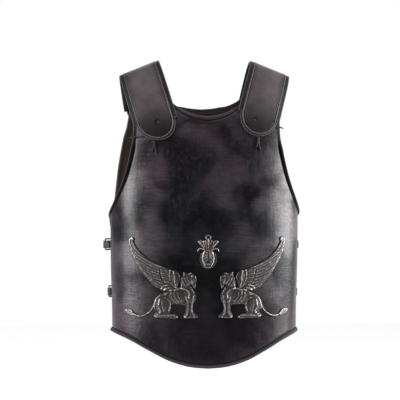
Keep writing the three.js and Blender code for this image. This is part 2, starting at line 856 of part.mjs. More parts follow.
// A band along a middle line, with a half width at each end
function ribbonOutline(points, place, startHalf, endHalf) {
  const curve = new THREE.CatmullRomCurve3(
    points.map(([x, z]) => new THREE.Vector3(...place(x, z), 0)),
    false,
    'centripetal',
  );
  const steps = gridLines([0, 1], [points.length - 1]);
  const edge = (t, way) => {
    const along = curve.getTangentAt(t);
    const half = THREE.MathUtils.lerp(startHalf, endHalf, t) * way;
    const p = curve.getPointAt(t);
    return new THREE.Vector2(p.x - along.y * half, p.y + along.x * half);
  };
  return new THREE.Shape([...steps.map((t) => edge(t, 1)), ...steps.reverse().map((t) => edge(t, -1))]);
}

function ellipseOutline([x, z, wide, high, lean], place) {
  const [cx, cz] = place(x, z);
  const [ox, oz] = place(0, 0);
  const [rx] = place(wide, 0);
  const rz = place(0, high)[1];
  const shape = new THREE.Shape();
  shape.absellipse(cx, cz, Math.abs(rx - ox), Math.abs(rz - oz), 0, 2 * Math.PI, false, lean);
  return new THREE.Shape(shape.getPoints(5).slice(0, -1));
}

// A shape seen from the front, run back through the whole front of the body
function frontBlock(shape) {
  const geometry = new THREE.ExtrudeGeometry(shape, { depth: 2 * chestDepth, bevelEnabled: false });
  return toSolid(geometry.rotateX(Math.PI / 2));
}

function studGeometry() {
  const inner = plateThickness + 2 * seatGap + washerThickness + facetDip;
  const headRise = studTail / 3;
  return latheOf(
    [
      [0, -inner - headRise],
      [studTail * 0.8, -inner - headRise],
      [studTail * 0.8, -inner],
      [studRadius, -inner],
      [studRadius, castThickness],
      [0, castThickness],
    ],
    8,
  );
}

// Washers follow the inner face of the breastplate
const washerFace = -plateThickness - seatGap;
const washerLayer = toSolid(frontLayer(washerFace - washerThickness, washerFace));

function washerGeometry(spot) {
  const block = toSolid(standOn(holeTool(washerRadius, -2 * plateThickness - overrun, 0, 8), spot));
  const bore = toSolid(standOn(holeTool(studRadius + seatGap, -3 * plateThickness, overrun), spot));
  return toGeometry(block.intersect(washerLayer).subtract(bore));
}

function castGeometry(tiers, spots) {
  let figure = null;
  tiers.forEach((shapes, tier) => {
    const layer = toSolid(frontLayer(seatGap, seatGap + castThickness + tier * castTier));
    shapes.forEach((shape) => {
      const piece = frontBlock(shape).intersect(layer);
      figure = figure ? figure.add(piece) : piece;
    });
  });
  spots.forEach((spot) => {
    figure = figure.add(toSolid(standOn(studGeometry(), spot)));
  });
  return toGeometry(figure);
}

const wing_shares = [
  [0.1, 0.993], [0.141, 0.965], [0.127, 0.94], [0.15, 0.892], [0.19, 0.837], [0.28, 0.758],
  [0.397, 0.691], [0.527, 0.63], [0.643, 0.593], [0.691, 0.583], [0.739, 0.551], [0.759, 0.502],
  [0.736, 0.417], [0.718, 0.362], [0.622, 0.337], [0.527, 0.337], [0.472, 0.362], [0.424, 0.38],
  [0.376, 0.423], [0.301, 0.498], [0.253, 0.544], [0.174, 0.654], [0.137, 0.709], [0.103, 0.776],
  [0.079, 0.837], [0.066, 0.898], [0.064, 0.959],
];
const beast_shares = [
  [0.65, 0.35], [0.759, 0.398], [0.759, 0.435], [0.77, 0.484], [0.793, 0.52], [0.803, 0.569],
  [0.855, 0.551], [0.889, 0.562], [0.944, 0.541], [0.975, 0.508], [0.981, 0.459], [0.971, 0.392],
  [0.953, 0.359], [0.927, 0.392], [0.903, 0.417], [0.921, 0.368], [0.951, 0.325], [0.971, 0.276],
  [0.969, 0.216], [0.937, 0.167], [0.93, 0.118], [0.951, 0.069], [1.0, 0.033], [0.995, 0.009],
  [0.896, 0.001], [0.814, 0.004], [0.803, 0.033], [0.825, 0.082], [0.825, 0.155], [0.732, 0.167],
  [0.647, 0.167], [0.636, 0.106], [0.629, 0.06], [0.691, 0.057], [0.732, 0.027], [0.725, 0.0],
  [0.554, 0.0], [0.424, 0.005], [0.398, 0.033], [0.438, 0.082], [0.404, 0.118], [0.397, 0.179],
  [0.424, 0.24], [0.479, 0.285], [0.54, 0.313],
];
const tail_shares = [
  [0.424, 0.228], [0.401, 0.161], [0.369, 0.1], [0.315, 0.054], [0.239, 0.022], [0.171, 0.026],
  [0.123, 0.054],
];
const tuft_shares = [
  [0.137, 0.06], [0.082, 0.104], [0.003, 0.091], [0.034, 0.051], [0.089, 0.026], [0.137, 0.023],
];
const leadingEdge_shares = [
  [0.1, 0.955], [0.115, 0.89], [0.18, 0.81], [0.3, 0.722], [0.45, 0.645], [0.6, 0.58],
];
const feather_shares = [
  [[0.1, 0.84], [0.16, 0.74], [0.26, 0.65], [0.4, 0.58], [0.56, 0.53]],
  [[0.15, 0.72], [0.22, 0.62], [0.32, 0.55], [0.44, 0.5], [0.58, 0.46]],
  [[0.27, 0.57], [0.36, 0.49], [0.46, 0.44], [0.6, 0.4]],
];
const foreleg_shares = [
  [0.9, 0.24], [0.89, 0.16], [0.885, 0.08], [0.9, 0.03],
];
// Middle, half width, half height and lean of each swell
const haunch_shares = [0.505, 0.185, 0.088, 0.115, 0.2];
const chest_shares = [0.88, 0.29, 0.075, 0.11, 0.15];
const neck_shares = [0.83, 0.42, 0.055, 0.1, -0.3];
const head_shares = [0.9, 0.475, 0.065, 0.06, 0];
const shoulder_shares = [0.69, 0.47, 0.05, 0.105, 0.2];
const griffinStud_shares = [[0.505, 0.185], [0.86, 0.29], [0.42, 0.55]];

function griffinPlace(sign) {
  return (x, z) => [
    sign * (griffinInset + griffinWidth * (1 - x)),
    griffinHeight * z - griffinBaseDrop,
  ];
}

function griffinGeometry(side, spots) {
  const place = griffinPlace(sides[side]);
  const tailHalf = 0.011 * griffinWidth;
  const featherHalf = 0.014 * griffinWidth;
  return castGeometry(
    [
      [
        closedOutline(wing_shares, place),
        closedOutline(beast_shares, place),
        closedOutline(tuft_shares, place),
        ribbonOutline(tail_shares, place, 1.2 * tailHalf, tailHalf),
      ],
      [
        ribbonOutline(leadingEdge_shares, place, featherHalf, featherHalf),
        ...feather_shares.map((points) => ribbonOutline(points, place, featherHalf, featherHalf)),
        ribbonOutline(foreleg_shares, place, featherHalf, featherHalf),
        ellipseOutline(neck_shares, place),
      ],
      [
        ellipseOutline(haunch_shares, place),
        ellipseOutline(chest_shares, place),
        ellipseOutline(head_shares, place),
        ellipseOutline(shoulder_shares, place),
      ],
    ],
    spots,
  );
}

const crown_shares = [
  [0.0, 0.87], [0.12, 0.85], [0.22, 0.83], [0.32, 0.85], [0.43, 0.84], [0.46, 0.79],
  [0.4, 0.72], [0.31, 0.66], [0.24, 0.61], [0.2, 0.54], [-0.2, 0.54], [-0.24, 0.61],
  [-0.31, 0.66], [-0.4, 0.72], [-0.46, 0.79], [-0.43, 0.84], [-0.32, 0.85], [-0.22, 0.83], [-0.12, 0.85],
];
const scroll_shares = [
  [0.16, 0.55], [0.28, 0.595], [0.39, 0.595], [0.455, 0.555], [0.465, 0.5],
];
const bud_shares = [0, 0.29, 0.375, 0.285, 0];
const rib_shares = [
  [[0.0, 0.52], [0.0, 0.3], [0.0, 0.08]],
  [[0.14, 0.52], [0.25, 0.32], [0.12, 0.1]],
  [[-0.14, 0.52], [-0.25, 0.32], [-0.12, 0.1]],
];
const loop_shares = [0, 0.92, 0.15, 0.08, 0];
const loopHole_shares = [0, 0.93, 0.07, 0.037, 0];
const palmetteStud_shares = [[0, 0.3]];

const palmettePlace = (x, z) => [palmetteWidth * x, palmetteHeight * z - palmetteBaseDrop];

function palmetteGeometry(spots) {
  const scrollHalf = 0.035 * palmetteWidth;
  const mirroredShares = (points) => points.map(([x, z]) => [-x, z]);
  const loop = ellipseOutline(loop_shares, palmettePlace);
  loop.holes.push(new THREE.Path(ellipseOutline(loopHole_shares, palmettePlace).getPoints().reverse()));
  return castGeometry(
    [
      [
        closedOutline(crown_shares, palmettePlace),
        ellipseOutline(bud_shares, palmettePlace),
        loop,
        ribbonOutline(scroll_shares, palmettePlace, scrollHalf, scrollHalf),
        ribbonOutline(mirroredShares(scroll_shares), palmettePlace, scrollHalf, scrollHalf),
      ],
      rib_shares.map((points) => ribbonOutline(points, palmettePlace, 1.6 * scrollHalf, scrollHalf)),
    ],
    spots,
  );
}

const spotsOf = (shares, place) =>
  shares.map(([x, z]) => {
    const [across, height] = place(x, z);
    return bodySpot(across, -height, false);
  });

// Leather ties: round thongs laid along the breastplate

function thongGeometry(points) {
  const curve = new THREE.CatmullRomCurve3(points, false, 'centripetal');
  const section = new THREE.Shape(
    Array.from({ length: 6 }, (_, k) => {
      const angle = (k * Math.PI) / 3;
      return new THREE.Vector2(thongRadius * Math.cos(angle), thongRadius * Math.sin(angle));
    }),
  );
  const geometry = new THREE.ExtrudeGeometry(section, { steps: points.length, extrudePath: curve });
  return toSolid(geometry);
}

function onPlate(x, drop, stand) {
  const spot = bodySpot(x, drop, false);
  return spot.origin.addScaledVector(spot.out, stand);
}

// Two tails that part below a knot, which hangs at the strap's end
function frontTieGeometry(side) {
  const stand = thongRadius + softGap;
  const knotRadius = 2 * thongRadius;
  const x = sides[side] * tieOffset[side];
  const top = frontEndDrop[side] + tieSag[side] + knotRadius + softGap;
  const knot = new THREE.SphereGeometry(knotRadius, 8, 6);
  let tie = toSolid(knot.translate(...onPlate(x, top, knotRadius + softGap).toArray()));
  [-1, 1].forEach((way) => {
    const length = tieLength * (way > 0 ? 1 : tailShare);
    const points = gridLines([0, 1], [3]).map((t) =>
      onPlate(x + way * tieSpread * t ** 2, top + length * t, stand + thongRadius * (1 - t)),
    );
    tie = tie.add(thongGeometry(points));
  });
  return toGeometry(tie);
}

// From beside the strap's round end to over the armhole lip
function sideThongGeometry(side) {
  const strap = strapSheet(side, 'front');
  const angle = sideThongAngle[side];
  const reach = strap.endRadius * Math.cos(angle) + sideThongGap;
  const start = strap.lying(strap.earDrop + strap.endRadius * Math.sin(angle), reach);
  const from = Math.abs(start.x);
  const end = tabHalfWidth + thongRadius;
  const points = gridLines([0, 1], [5]).map((t) => {
    const x = THREE.MathUtils.lerp(from, end, t);
    const climb = THREE.MathUtils.smoothstep(x, end - 1.5 * lipWidth, end - 0.3 * lipWidth);
    return onPlate(sides[side] * x, sideThongFall * t - start.z, thongRadius + seatGap + lipRise * climb);
  });
  return toGeometry(thongGeometry(points));
}

// Assembly

const frontTools = [];
const backTools = [];

// One joined figure for each side, with its studs through the breastplate and their washers
Object.keys(sides).forEach((side) => {
  const spots = spotsOf(griffinStud_shares, griffinPlace(sides[side]));
  addPiece(`griffin_${side}`, griffinGeometry(side, spots), materials.pewter);
  spots.forEach((spot, k) => {
    frontTools.push(standOn(holeTool(studRadius + seatGap, -plateThickness - overrun, overrun), spot));
    addPiece(`griffin_washer_${side}_${k + 1}`, washerGeometry(spot), materials.brass);
  });
});
const palmetteSpots = spotsOf(palmetteStud_shares, palmettePlace);
addPiece('palmette', palmetteGeometry(palmetteSpots), materials.pewter);
palmetteSpots.forEach((spot) => {
  frontTools.push(standOn(holeTool(studRadius + seatGap, -plateThickness - overrun, overrun), spot));
  addPiece('palmette_washer', washerGeometry(spot), materials.brass);
});

Object.keys(sides).forEach((side) => {
  Object.keys(sideStrapDrops).forEach((level) => {
    const strap = sideStrap(level, side);
    const name = `${level}_${side}`;
    const heelBasis = strap.basisAt(strap.heel, -heelDepth);
    const hang = (piece, geometry, material) => {
      addPiece(piece, geometry, material).applyMatrix4(heelBasis);
    };
    hang(`buckle_frame_${name}`, frameGeometry(), materials.brass);
    hang(`buckle_prong_${name}`, prongGeometry(), materials.brass);

    const chapeTools = [];
    const billetTools = [];
    const rivets = [
      {
        kind: 'chape_rivet',
        u: strap.heel + chapeLength - chapeRivetSetback,
        w: chapeLeather - heelDepth + softGap,
        grip: softGap + 2 * chapeLeather + chapeGap + plateThickness + facetDip,
        across: chapeWidth / 4,
        tools: [chapeTools, backTools],
      },
      {
        kind: 'billet_rivet',
        u: billetRivetSetback,
        w: billetThickness / 2 + softGap,
        grip: softGap + billetThickness + softGap + plateThickness + facetDip,
        across: billetWidth / 4,
        tools: [billetTools, frontTools],
      },
    ];
    rivets.forEach(({ kind, u, w, grip, across, tools }) => {
      [['top', 1], ['bottom', -1]].forEach(([end, way]) => {
        const spot = strap.spotAt(u, w, way * across);
        addStanding(`${kind}_${name}_${end}`, rivetGeometry(grip), materials.brass, spot);
        const tool = standOn(holeTool(rivetHole, -grip - rivetTailRise, softGap), spot);
        tools.forEach((list) => list.push(tool));
      });
    });
    addPiece(`chape_${name}`, withHoles(chapeGeometry(strap), chapeTools), materials.sideLeather);
    addPiece(`billet_${name}`, withHoles(billetGeometry(strap), billetTools), materials.sideLeather);
    const keeper = addPiece(`keeper_${name}`, keeperGeometry(), materials.sideLeather);
    keeper.applyMatrix4(strap.basisAt(strap.heel + keeperSetback, 0));
  });
});

Object.keys(sides).forEach((side) => {
  const front = strapSheet(side, 'front');
  const rear = strapSheet(side, 'rear');
  const middle = front.lying(frontEndDrop[side] - strapHoleRise[side], -strapHoleInset[side]);
  const hole = bodySpot(middle.x, -middle.z, false);
  addPiece(
    `shoulder_strap_front_${side}`,
    withHoles(shoulderStrapGeometry(front), [
      standOn(holeTool(strapHoleRadius, 0, strapThickness + overrun), hole),
    ]),
    materials.strapLeather,
  );
  const rearTools = [];
  const grip = seatGap + strapThickness + softGap + plateThickness + facetDip;
  [['inner', -1], ['outer', 1]].forEach(([end, way]) => {
    const lying = rear.lying(rearEndDrop - rearRivetRise, way * rearRivetSpread);
    const spot = bodySpot(lying.x, -lying.z, true);
    spot.origin.addScaledVector(spot.out, softGap + strapThickness + seatGap);
    addStanding(`strap_rivet_${side}_${end}`, rivetGeometry(grip), materials.brass, spot);
    const tool = standOn(holeTool(rivetHole, -grip - rivetTailRise, seatGap), spot);
    rearTools.push(tool);
    backTools.push(tool);
  });
  addPiece(
    `shoulder_strap_rear_${side}`,
    withHoles(shoulderStrapGeometry(rear), rearTools),
    materials.strapLeather,
  );
  addPiece(`front_tie_${side}`, frontTieGeometry(side), materials.thong);
  addPiece(`side_thong_${side}`, sideThongGeometry(side), materials.thong);
});

addPiece('breastplate', withHoles(frontLayer(-plateThickness, 0), frontTools), materials.leather);
addPiece('backplate', withHoles(backLayer(-plateThickness, 0), backTools), materials.leather);

export default cuirass;
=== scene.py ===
"""Leather cuirass with griffin and palmette castings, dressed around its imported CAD."""

import math

import bmesh
import bpy
import numpy as np
from mathutils import Matrix, Vector
from mathutils.geometry import delaunay_2d_cdt


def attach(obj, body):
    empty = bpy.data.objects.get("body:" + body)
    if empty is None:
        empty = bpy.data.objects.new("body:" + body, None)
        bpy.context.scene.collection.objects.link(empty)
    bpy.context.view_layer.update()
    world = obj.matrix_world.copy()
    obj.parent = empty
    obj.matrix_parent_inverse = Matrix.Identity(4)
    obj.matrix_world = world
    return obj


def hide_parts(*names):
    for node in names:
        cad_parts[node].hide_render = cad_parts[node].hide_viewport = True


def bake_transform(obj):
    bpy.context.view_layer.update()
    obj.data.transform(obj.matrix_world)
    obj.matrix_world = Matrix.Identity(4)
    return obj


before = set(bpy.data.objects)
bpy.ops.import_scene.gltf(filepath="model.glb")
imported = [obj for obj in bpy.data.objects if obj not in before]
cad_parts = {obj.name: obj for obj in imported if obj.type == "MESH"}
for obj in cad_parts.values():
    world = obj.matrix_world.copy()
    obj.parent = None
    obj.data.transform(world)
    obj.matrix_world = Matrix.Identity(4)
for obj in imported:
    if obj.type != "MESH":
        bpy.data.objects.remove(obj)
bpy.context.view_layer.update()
scene = bpy.context.scene


# Studio: the cuirass hangs at shoulder height in front of a white wall, between two large soft
# boxes that stand a little in front of it and draw the long soft highlights down its sides.

CAMERA_TURN = math.radians(-3.7)
CAMERA_DISTANCE = 3.2
CAMERA_HEIGHT = -0.288
CAMERA_SHIFT_LEFT = 0.0085
CAMERA_ANGLE = math.radians(15.16)
LAMP_AIM = Vector((0, 0, -0.32))
FLOOR_HEIGHT = -1.05
FLOOR_HALF = 6
WALL_WHITE = "#ffffff"
FLOOR_WHITE = "#f4f4f2"
FLOOR_GLOW = 0.75
FILL_WHITE = "#e9ecf2"
FILL_STRENGTH = 0.25
FRONT_GLOSS = 0.04


def linear(hex_colour):
    channels = [int(hex_colour[i : i + 2], 16) / 255 for i in (1, 3, 5)]
    curve = [c / 12.92 if c <= 0.04045 else ((c + 0.055) / 1.055) ** 2.4 for c in channels]
    return (*curve, 1.0)


def add(tree, kind, settings=None):
    """One node. A setting that is a node or an output is linked to its input. A colour mix has its
    share at 0 and its colours at 6 and 7."""
    node = tree.nodes.new(kind)
    for key, value in (settings or {}).items():
        if isinstance(value, bpy.types.Node):
            value = next(output for output in value.outputs if output.enabled)
        if isinstance(value, bpy.types.NodeSocket):
            tree.links.new(value, node.inputs[key])
        elif isinstance(key, int) or key in node.inputs:
            node.inputs[key].default_value = value
        else:
            setattr(node, key, value)
    return node


def skin(name):
    """A material with an empty node tree."""
    material = bpy.data.materials.new(name)
    material.use_nodes = True
    material.node_tree.nodes.clear()
    return material, material.node_tree


def put(name, data):
    """A new object in the scene."""
    thing = bpy.data.objects.new(name, data)
    scene.collection.objects.link(thing)
    return thing


camera_data = bpy.data.cameras.new("camera")
camera_data.angle = CAMERA_ANGLE
camera = put("camera", camera_data)
right = Vector((math.cos(CAMERA_TURN), math.sin(CAMERA_TURN), 0))
toward = Vector((math.sin(CAMERA_TURN), -math.cos(CAMERA_TURN), 0))
camera.location = toward * CAMERA_DISTANCE - right * CAMERA_SHIFT_LEFT
camera.location.z = CAMERA_HEIGHT
camera.rotation_euler = (math.pi / 2, 0, CAMERA_TURN)
scene.camera = camera

# Name, place, size, power in watts
soft_boxes = [
    ("soft_box_left", (-1.85, -0.45, 0.2), (1.0, 1.7), 50),
    ("soft_box_right", (1.85, -0.15, 0.15), (1.4, 1.7), 80),
    ("soft_box_top", (0.1, -0.6, 2.5), (1.8, 1.2), 25),
    ("soft_box_back", (0.0, 2.4, 1.6), (1.6, 0.9), 16),
]
for name, place, size, power in soft_boxes:
    data = bpy.data.lights.new(name, "AREA")
    data.shape = "RECTANGLE"
    data.size, data.size_y = size
    data.energy = power
    lamp = put(name, data)
    lamp.location = place
    lamp.rotation_euler = (LAMP_AIM - Vector(place)).to_track_quat("-Z", "Y").to_euler()

# The backdrop behind the cuirass also shows in its polished parts; the room in front is dim
world = bpy.data.worlds.new("white_room")
scene.world = world
world.use_nodes = True
room = world.node_tree
room.nodes.clear()
rays = add(room, "ShaderNodeLightPath")
direction = add(room, "ShaderNodeSeparateXYZ", {
    0: add(room, "ShaderNodeTexCoord").outputs["Generated"],
})
behind = add(room, "ShaderNodeMapRange", {
    "interpolation_type": "SMOOTHSTEP", "From Min": -0.1, "From Max": 0.5,
    "Value": direction.outputs["Y"],
})
# A dark screen stands behind the left soft box and keeps that flank from shining
screened = add(room, "ShaderNodeMapRange", {
    "From Min": -0.6, "From Max": 0.1, "To Min": 0.0, "Value": direction.outputs["X"],
})
unscreened = add(room, "ShaderNodeMath", {"operation": "MULTIPLY", 0: behind, 1: screened})
mirrored_wall = add(room, "ShaderNodeMath", {
    "operation": "MULTIPLY", 0: rays.outputs["Is Glossy Ray"], 1: unscreened,
})
seen = add(room, "ShaderNodeMath", {
    "operation": "MAXIMUM", 0: rays.outputs["Is Camera Ray"],
    1: rays.outputs["Is Transmission Ray"],
})
seen = add(room, "ShaderNodeMath", {"operation": "MAXIMUM", 0: seen, 1: mirrored_wall})
wall = add(room, "ShaderNodeBackground", {"Color": linear(WALL_WHITE), "Strength": 1.0})
front_dim = add(room, "ShaderNodeMapRange", {
    "To Min": FILL_STRENGTH, "To Max": FRONT_GLOSS, "Value": rays.outputs["Is Glossy Ray"],
})
fill = add(room, "ShaderNodeBackground", {"Color": linear(FILL_WHITE), "Strength": front_dim})
mix = add(room, "ShaderNodeMixShader", {0: seen, 1: fill, 2: wall})
add(room, "ShaderNodeOutputWorld", {"Surface": mix})

floor_mesh = bpy.data.meshes.new("studio_floor")
corners = ((-1, -1), (1, -1), (1, 1), (-1, 1))
floor_mesh.from_pydata(
    [(FLOOR_HALF * x, FLOOR_HALF * y, FLOOR_HEIGHT) for x, y in corners], [], [(0, 1, 2, 3)]
)
floor = put("studio_floor", floor_mesh)
paper, tree = skin("studio_paper")
rays = add(tree, "ShaderNodeLightPath")
matt = add(tree, "ShaderNodeBsdfDiffuse", {"Color": linear(FLOOR_WHITE)})
glow = add(tree, "ShaderNodeEmission", {"Color": linear(WALL_WHITE), "Strength": FLOOR_GLOW})
lit = add(tree, "ShaderNodeAddShader", {0: matt, 1: glow})
spot = add(tree, "ShaderNodeSeparateXYZ", {0: add(tree, "ShaderNodeTexCoord").outputs["Object"]})
behind = add(tree, "ShaderNodeMapRange", {
    "From Min": 0.4, "From Max": 1.6, "Value": spot.outputs["Y"],
})
reflected = add(tree, "ShaderNodeMath", {
    "operation": "MULTIPLY", 0: rays.outputs["Is Glossy Ray"], 1: behind,
})
shown = add(tree, "ShaderNodeMath", {
    "operation": "MAXIMUM", 0: rays.outputs["Is Camera Ray"], 1: reflected,
})
mix = add(tree, "ShaderNodeMixShader", {0: shown, 1: matt, 2: lit})
add(tree, "ShaderNodeOutputMaterial", {"Surface": mix})
floor_mesh.materials.append(paper)

scene.view_settings.view_transform = "Standard"


# Breastplate and backplate: two shells of thick vegetable-tanned leather, each wetted, moulded over
# a torso form and burnished. Round the neck, the armholes and the bottom the leather is turned out
# in a rolled rim, with a pressed groove behind it.

MM = 0.001
CHEST_HALF_WIDTH = 199
CHEST_DEPTH = 132
BACK_DEPTH = 126
BOTTOM_DROP = 631
ROUNDNESS = 0.83
# Columns: drop below the shoulders, half width, front depth, back depth, as shares
FORM_SHARES = np.array([
    (0.06, 1.0, 0.41, 0.42),
    (0.1, 1.0, 0.57, 0.56),
    (0.19, 1.0, 0.81, 0.81),
    (0.27, 1.0, 0.93, 0.95),
    (0.38, 1.0, 1.0, 1.0),
    (0.52, 1.0, 0.99, 0.96),
    (0.68, 0.995, 0.96, 0.89),
    (0.83, 0.982, 0.965, 0.9),
    (1.0, 0.98, 1.03, 0.98),
])
PLATE_THICKNESS = 4.5
SIDE_DROP = 563
ARMHOLE_DROP = 328
TAB_DROP = 66
NECK_HALF_WIDTH = 84
TAB_HALF_WIDTH = 154
NECK_ACROSS = [0, 0.35, 0.66, 0.85, 0.96, 1]
NECK_RISE = [0, 0.1, 0.34, 0.6, 0.83, 1]
BOTTOM_TURN = [0, 0.075, 0.19, 0.33, 0.51, 0.75, 1]
BOTTOM_RISE = [0, 0.045, 0.21, 0.5, 0.81, 0.985, 1]
PLATES = {
    "breastplate": {
        "side_length": 26,
        "neck_drop": 118,
        "low_drop": BOTTOM_DROP,
        "armhole_turn": [1, 0.95, 0.835, 0.7, 0.577, 0.503, 0.472, 0.468, 0.462],
        "armhole_drop": [1, 0.982, 0.954, 0.885, 0.765, 0.62, 0.5, 0.36, 0.2],
    },
    "backplate": {
        "side_length": 46,
        "neck_drop": 92,
        "low_drop": 592,
        "armhole_turn": [1, 0.985, 0.945, 0.9, 0.86, 0.79, 0.73, 0.69, 0.665],
        "armhole_drop": [1, 0.96, 0.87, 0.76, 0.66, 0.52, 0.4, 0.3, 0.2],
    },
}
# Rim: how far the leather is turned out, over what width, and the bead and groove pressed in it
LIP_RISE = 4
LIP_WIDTH = 9
BEAD_RISE = 1.0
BEAD_WIDTH = 5.4
GROOVE_DEPTH = 1.3
GROOVE_PLACE = 7.2
GROOVE_WIDTH = 1.5
LIP_FADE = 0.06
NECK_FADE = (0.3, 0.2)
# The shoulder strap lies over the armhole rim from this share of the armhole's edge up
STRAP_COVER = 0.66
PLATE_ROUND_OUT = 1.2
# Shares of a plate's half width and height at which its grid changes step, and the steps between
COLUMN_STOPS, COLUMN_STEPS = [0, 0.93, 1], [62, 22]
ROW_STOPS, ROW_STEPS = [0, 0.035, 0.965, 1], [22, 96, 18]


def form_share(column, drop):
    """The form's share at a drop, on a smooth curve through the table."""
    at = np.asarray(drop, float) / BOTTOM_DROP
    x, y = FORM_SHARES[:, 0], FORM_SHARES[:, column]
    last = len(x) - 1
    rows = np.arange(last + 1)
    after, before = np.minimum(rows + 1, last), np.maximum(rows - 1, 0)
    slopes = (y[after] - y[before]) / (x[after] - x[before])
    k = np.clip(np.searchsorted(x, at, side="right"), 1, last) - 1
    run = x[k + 1] - x[k]
    t = (at - x[k]) / run
    rise = 3 * t**2 - 2 * t**3
    bend = run * ((t**3 - 2 * t**2 + t) * slopes[k] + (t**3 - t**2) * slopes[k + 1])
    return y[k] + (y[k + 1] - y[k]) * rise + bend


def rounded(value):
    """Makes a circle of sines and cosines a little boxier, as a torso is."""
    return np.sign(value) * np.abs(value) ** ROUNDNESS


def body_point(turn, drop):
    """A point of the torso form. Turn 0 is the front middle, a quarter turn the left side."""
    turn, drop = np.broadcast_arrays(np.asarray(turn, float), np.asarray(drop, float))
    across = np.cos(turn)
    chest, back = CHEST_DEPTH * form_share(2, drop), BACK_DEPTH * form_share(3, drop)
    depth = np.where(across > 0, chest, back)
    half = CHEST_HALF_WIDTH * form_share(1, drop)
    return np.stack([half * rounded(np.sin(turn)), -depth * rounded(across), -drop], -1)


def unit(v):
    return v / np.linalg.norm(v, axis=-1, keepdims=True)


def body_normal(turn, drop):
    turn, drop = np.asarray(turn, float), np.asarray(drop, float)
    turn_step, drop_step = 0.01, BOTTOM_DROP / 300
    around = body_point(turn + turn_step, drop) - body_point(turn - turn_step, drop)
    rise = body_point(turn, drop - drop_step) - body_point(turn, drop + drop_step)
    return unit(np.cross(around, rise))


def turn_at(x, drop):
    share = np.minimum(np.abs(x) / (CHEST_HALF_WIDTH * form_share(1, drop)), 1)
    return np.sign(x) * np.arcsin(share ** (1 / ROUNDNESS))


def turn_behind_side(length, drop):
    """The turn reached by walking round the form from its widest line towards the back."""
    turns = math.pi / 2 + np.arange(0, 1.6, 0.002)
    walked = lengths_of(body_point(turns, drop))
    return turns[np.minimum(np.searchsorted(walked, length), len(turns) - 1)]


def smooth_line(points, closed=False, steps=24):
    """A centripetal curve through the points, as many short even runs."""
    p = np.array(points, float)
    if closed:
        p = np.concatenate([p[-1:], p, p[:2]])
    else:
        p = np.concatenate([[2 * p[0] - p[1]], p, [2 * p[-1] - p[-2]]])
    runs = []
    for a, b, c, d in zip(p[:-3], p[1:-2], p[2:-1], p[3:]):
        d0, d1, d2 = (max(np.linalg.norm(q - r) ** 0.5, 1e-6) for q, r in ((b, a), (c, b), (d, c)))
        m1 = d1 * ((b - a) / d0 - (c - a) / (d0 + d1) + (c - b) / d1)
        m2 = d1 * ((c - b) / d1 - (d - b) / (d1 + d2) + (d - c) / d2)
        t = np.linspace(0, 1, steps, endpoint=False)[:, None]
        hermite = (2 * t**3 - 3 * t**2 + 1) * b + (t**3 - 2 * t**2 + t) * m1
        runs.append(hermite + (3 * t**2 - 2 * t**3) * c + (t**3 - t**2) * m2)
    line = np.concatenate(runs)
    return line if closed else np.concatenate([line, p[-2:-1]])


def lengths_of(line):
    return np.concatenate([[0], np.cumsum(np.linalg.norm(np.diff(line, axis=0), axis=-1))])


def along(line, shares):
    """Points at even shares of the line's length."""
    walked = lengths_of(line)
    at = np.clip(shares, 0, 1) * walked[-1]
    return np.stack([np.interp(at, walked, line[:, i]) for i in range(line.shape[1])], -1)


def stepped(stops, counts):
    """Even steps between neighbouring stops."""
    parts = [np.linspace(a, b, n, endpoint=False) for a, b, n in zip(stops, stops[1:], counts)]
    return np.concatenate([*parts, [stops[-1]]])


def new_piece(name, points, faces, material, smooth=True):
    """A mesh object at the origin from points in millimetres."""
    mesh = bpy.data.meshes.new(name)
    spots = [tuple(p) for p in np.asarray(points) * MM]
    mesh.from_pydata(spots, [], [list(map(int, face)) for face in faces])
    mesh.materials.append(material)
    mesh.polygons.foreach_set("use_smooth", [smooth] * len(mesh.polygons))
    mesh.update()
    return put(name, mesh)


def outward(piece):
    """Turns every face of a closed mesh outwards."""
    shape = bmesh.new()
    shape.from_mesh(piece.data)
    bmesh.ops.remove_doubles(shape, verts=shape.verts, dist=1e-7)
    bmesh.ops.recalc_face_normals(shape, faces=shape.faces)
    shape.to_mesh(piece.data)
    shape.free()
    return piece


def sheet_faces(columns, rows, layers):
    """Faces of a closed sheet whose layers run from its back to its front and meet at the rim."""
    count = columns * rows
    grid = np.arange(count).reshape(rows, columns)
    quads = np.stack([grid[:-1, :-1], grid[:-1, 1:], grid[1:, 1:], grid[1:, :-1]], -1)
    quads = quads.reshape(-1, 4)
    faces = quads[:, ::-1].tolist() + (quads + count).tolist()
    loop = np.concatenate([grid[0, :-1], grid[:-1, -1], grid[-1, :0:-1], grid[:0:-1, 0]])
    rings = [loop]
    for layer in range(layers):
        rings.append(2 * count + layer * len(loop) + np.arange(len(loop)))
    rings.append(loop + count)
    for low, high in zip(rings, rings[1:]):
        faces += np.stack([low, np.roll(low, -1), np.roll(high, -1), high], -1).tolist()
    return faces, loop


def leather_sheet(name, points, normals, rise, thickness, round_out, material):
    """A closed sheet of leather on a grid of points, its edge rounded out by some millimetres."""
    rows, columns = points.shape[:2]
    front = points + normals * rise[..., None]
    back = front - normals * thickness
    edge_steps = 4
    faces, loop = sheet_faces(columns, rows, edge_steps)
    flat_front, flat_back = front.reshape(-1, 3), back.reshape(-1, 3)
    middle = (flat_front[loop] + flat_back[loop]) / 2
    flat_normals = normals.reshape(-1, 3)[loop]
    run = np.roll(middle, -1, axis=0) - np.roll(middle, 1, axis=0)
    out = unit(np.cross(run, flat_normals))
    if ((middle - flat_front.mean(axis=0)) * out).sum() < 0:
        out = -out
    rings = []
    for k in range(edge_steps):
        angle = math.pi * ((k + 1) / (edge_steps + 1) - 0.5)
        lift = flat_normals * (math.sin(angle) * thickness / 2)
        rings.append(middle + lift + out * (math.cos(angle) * round_out))
    everything = np.concatenate([flat_back, flat_front, *rings])
    return outward(new_piece(name, everything, faces, material))


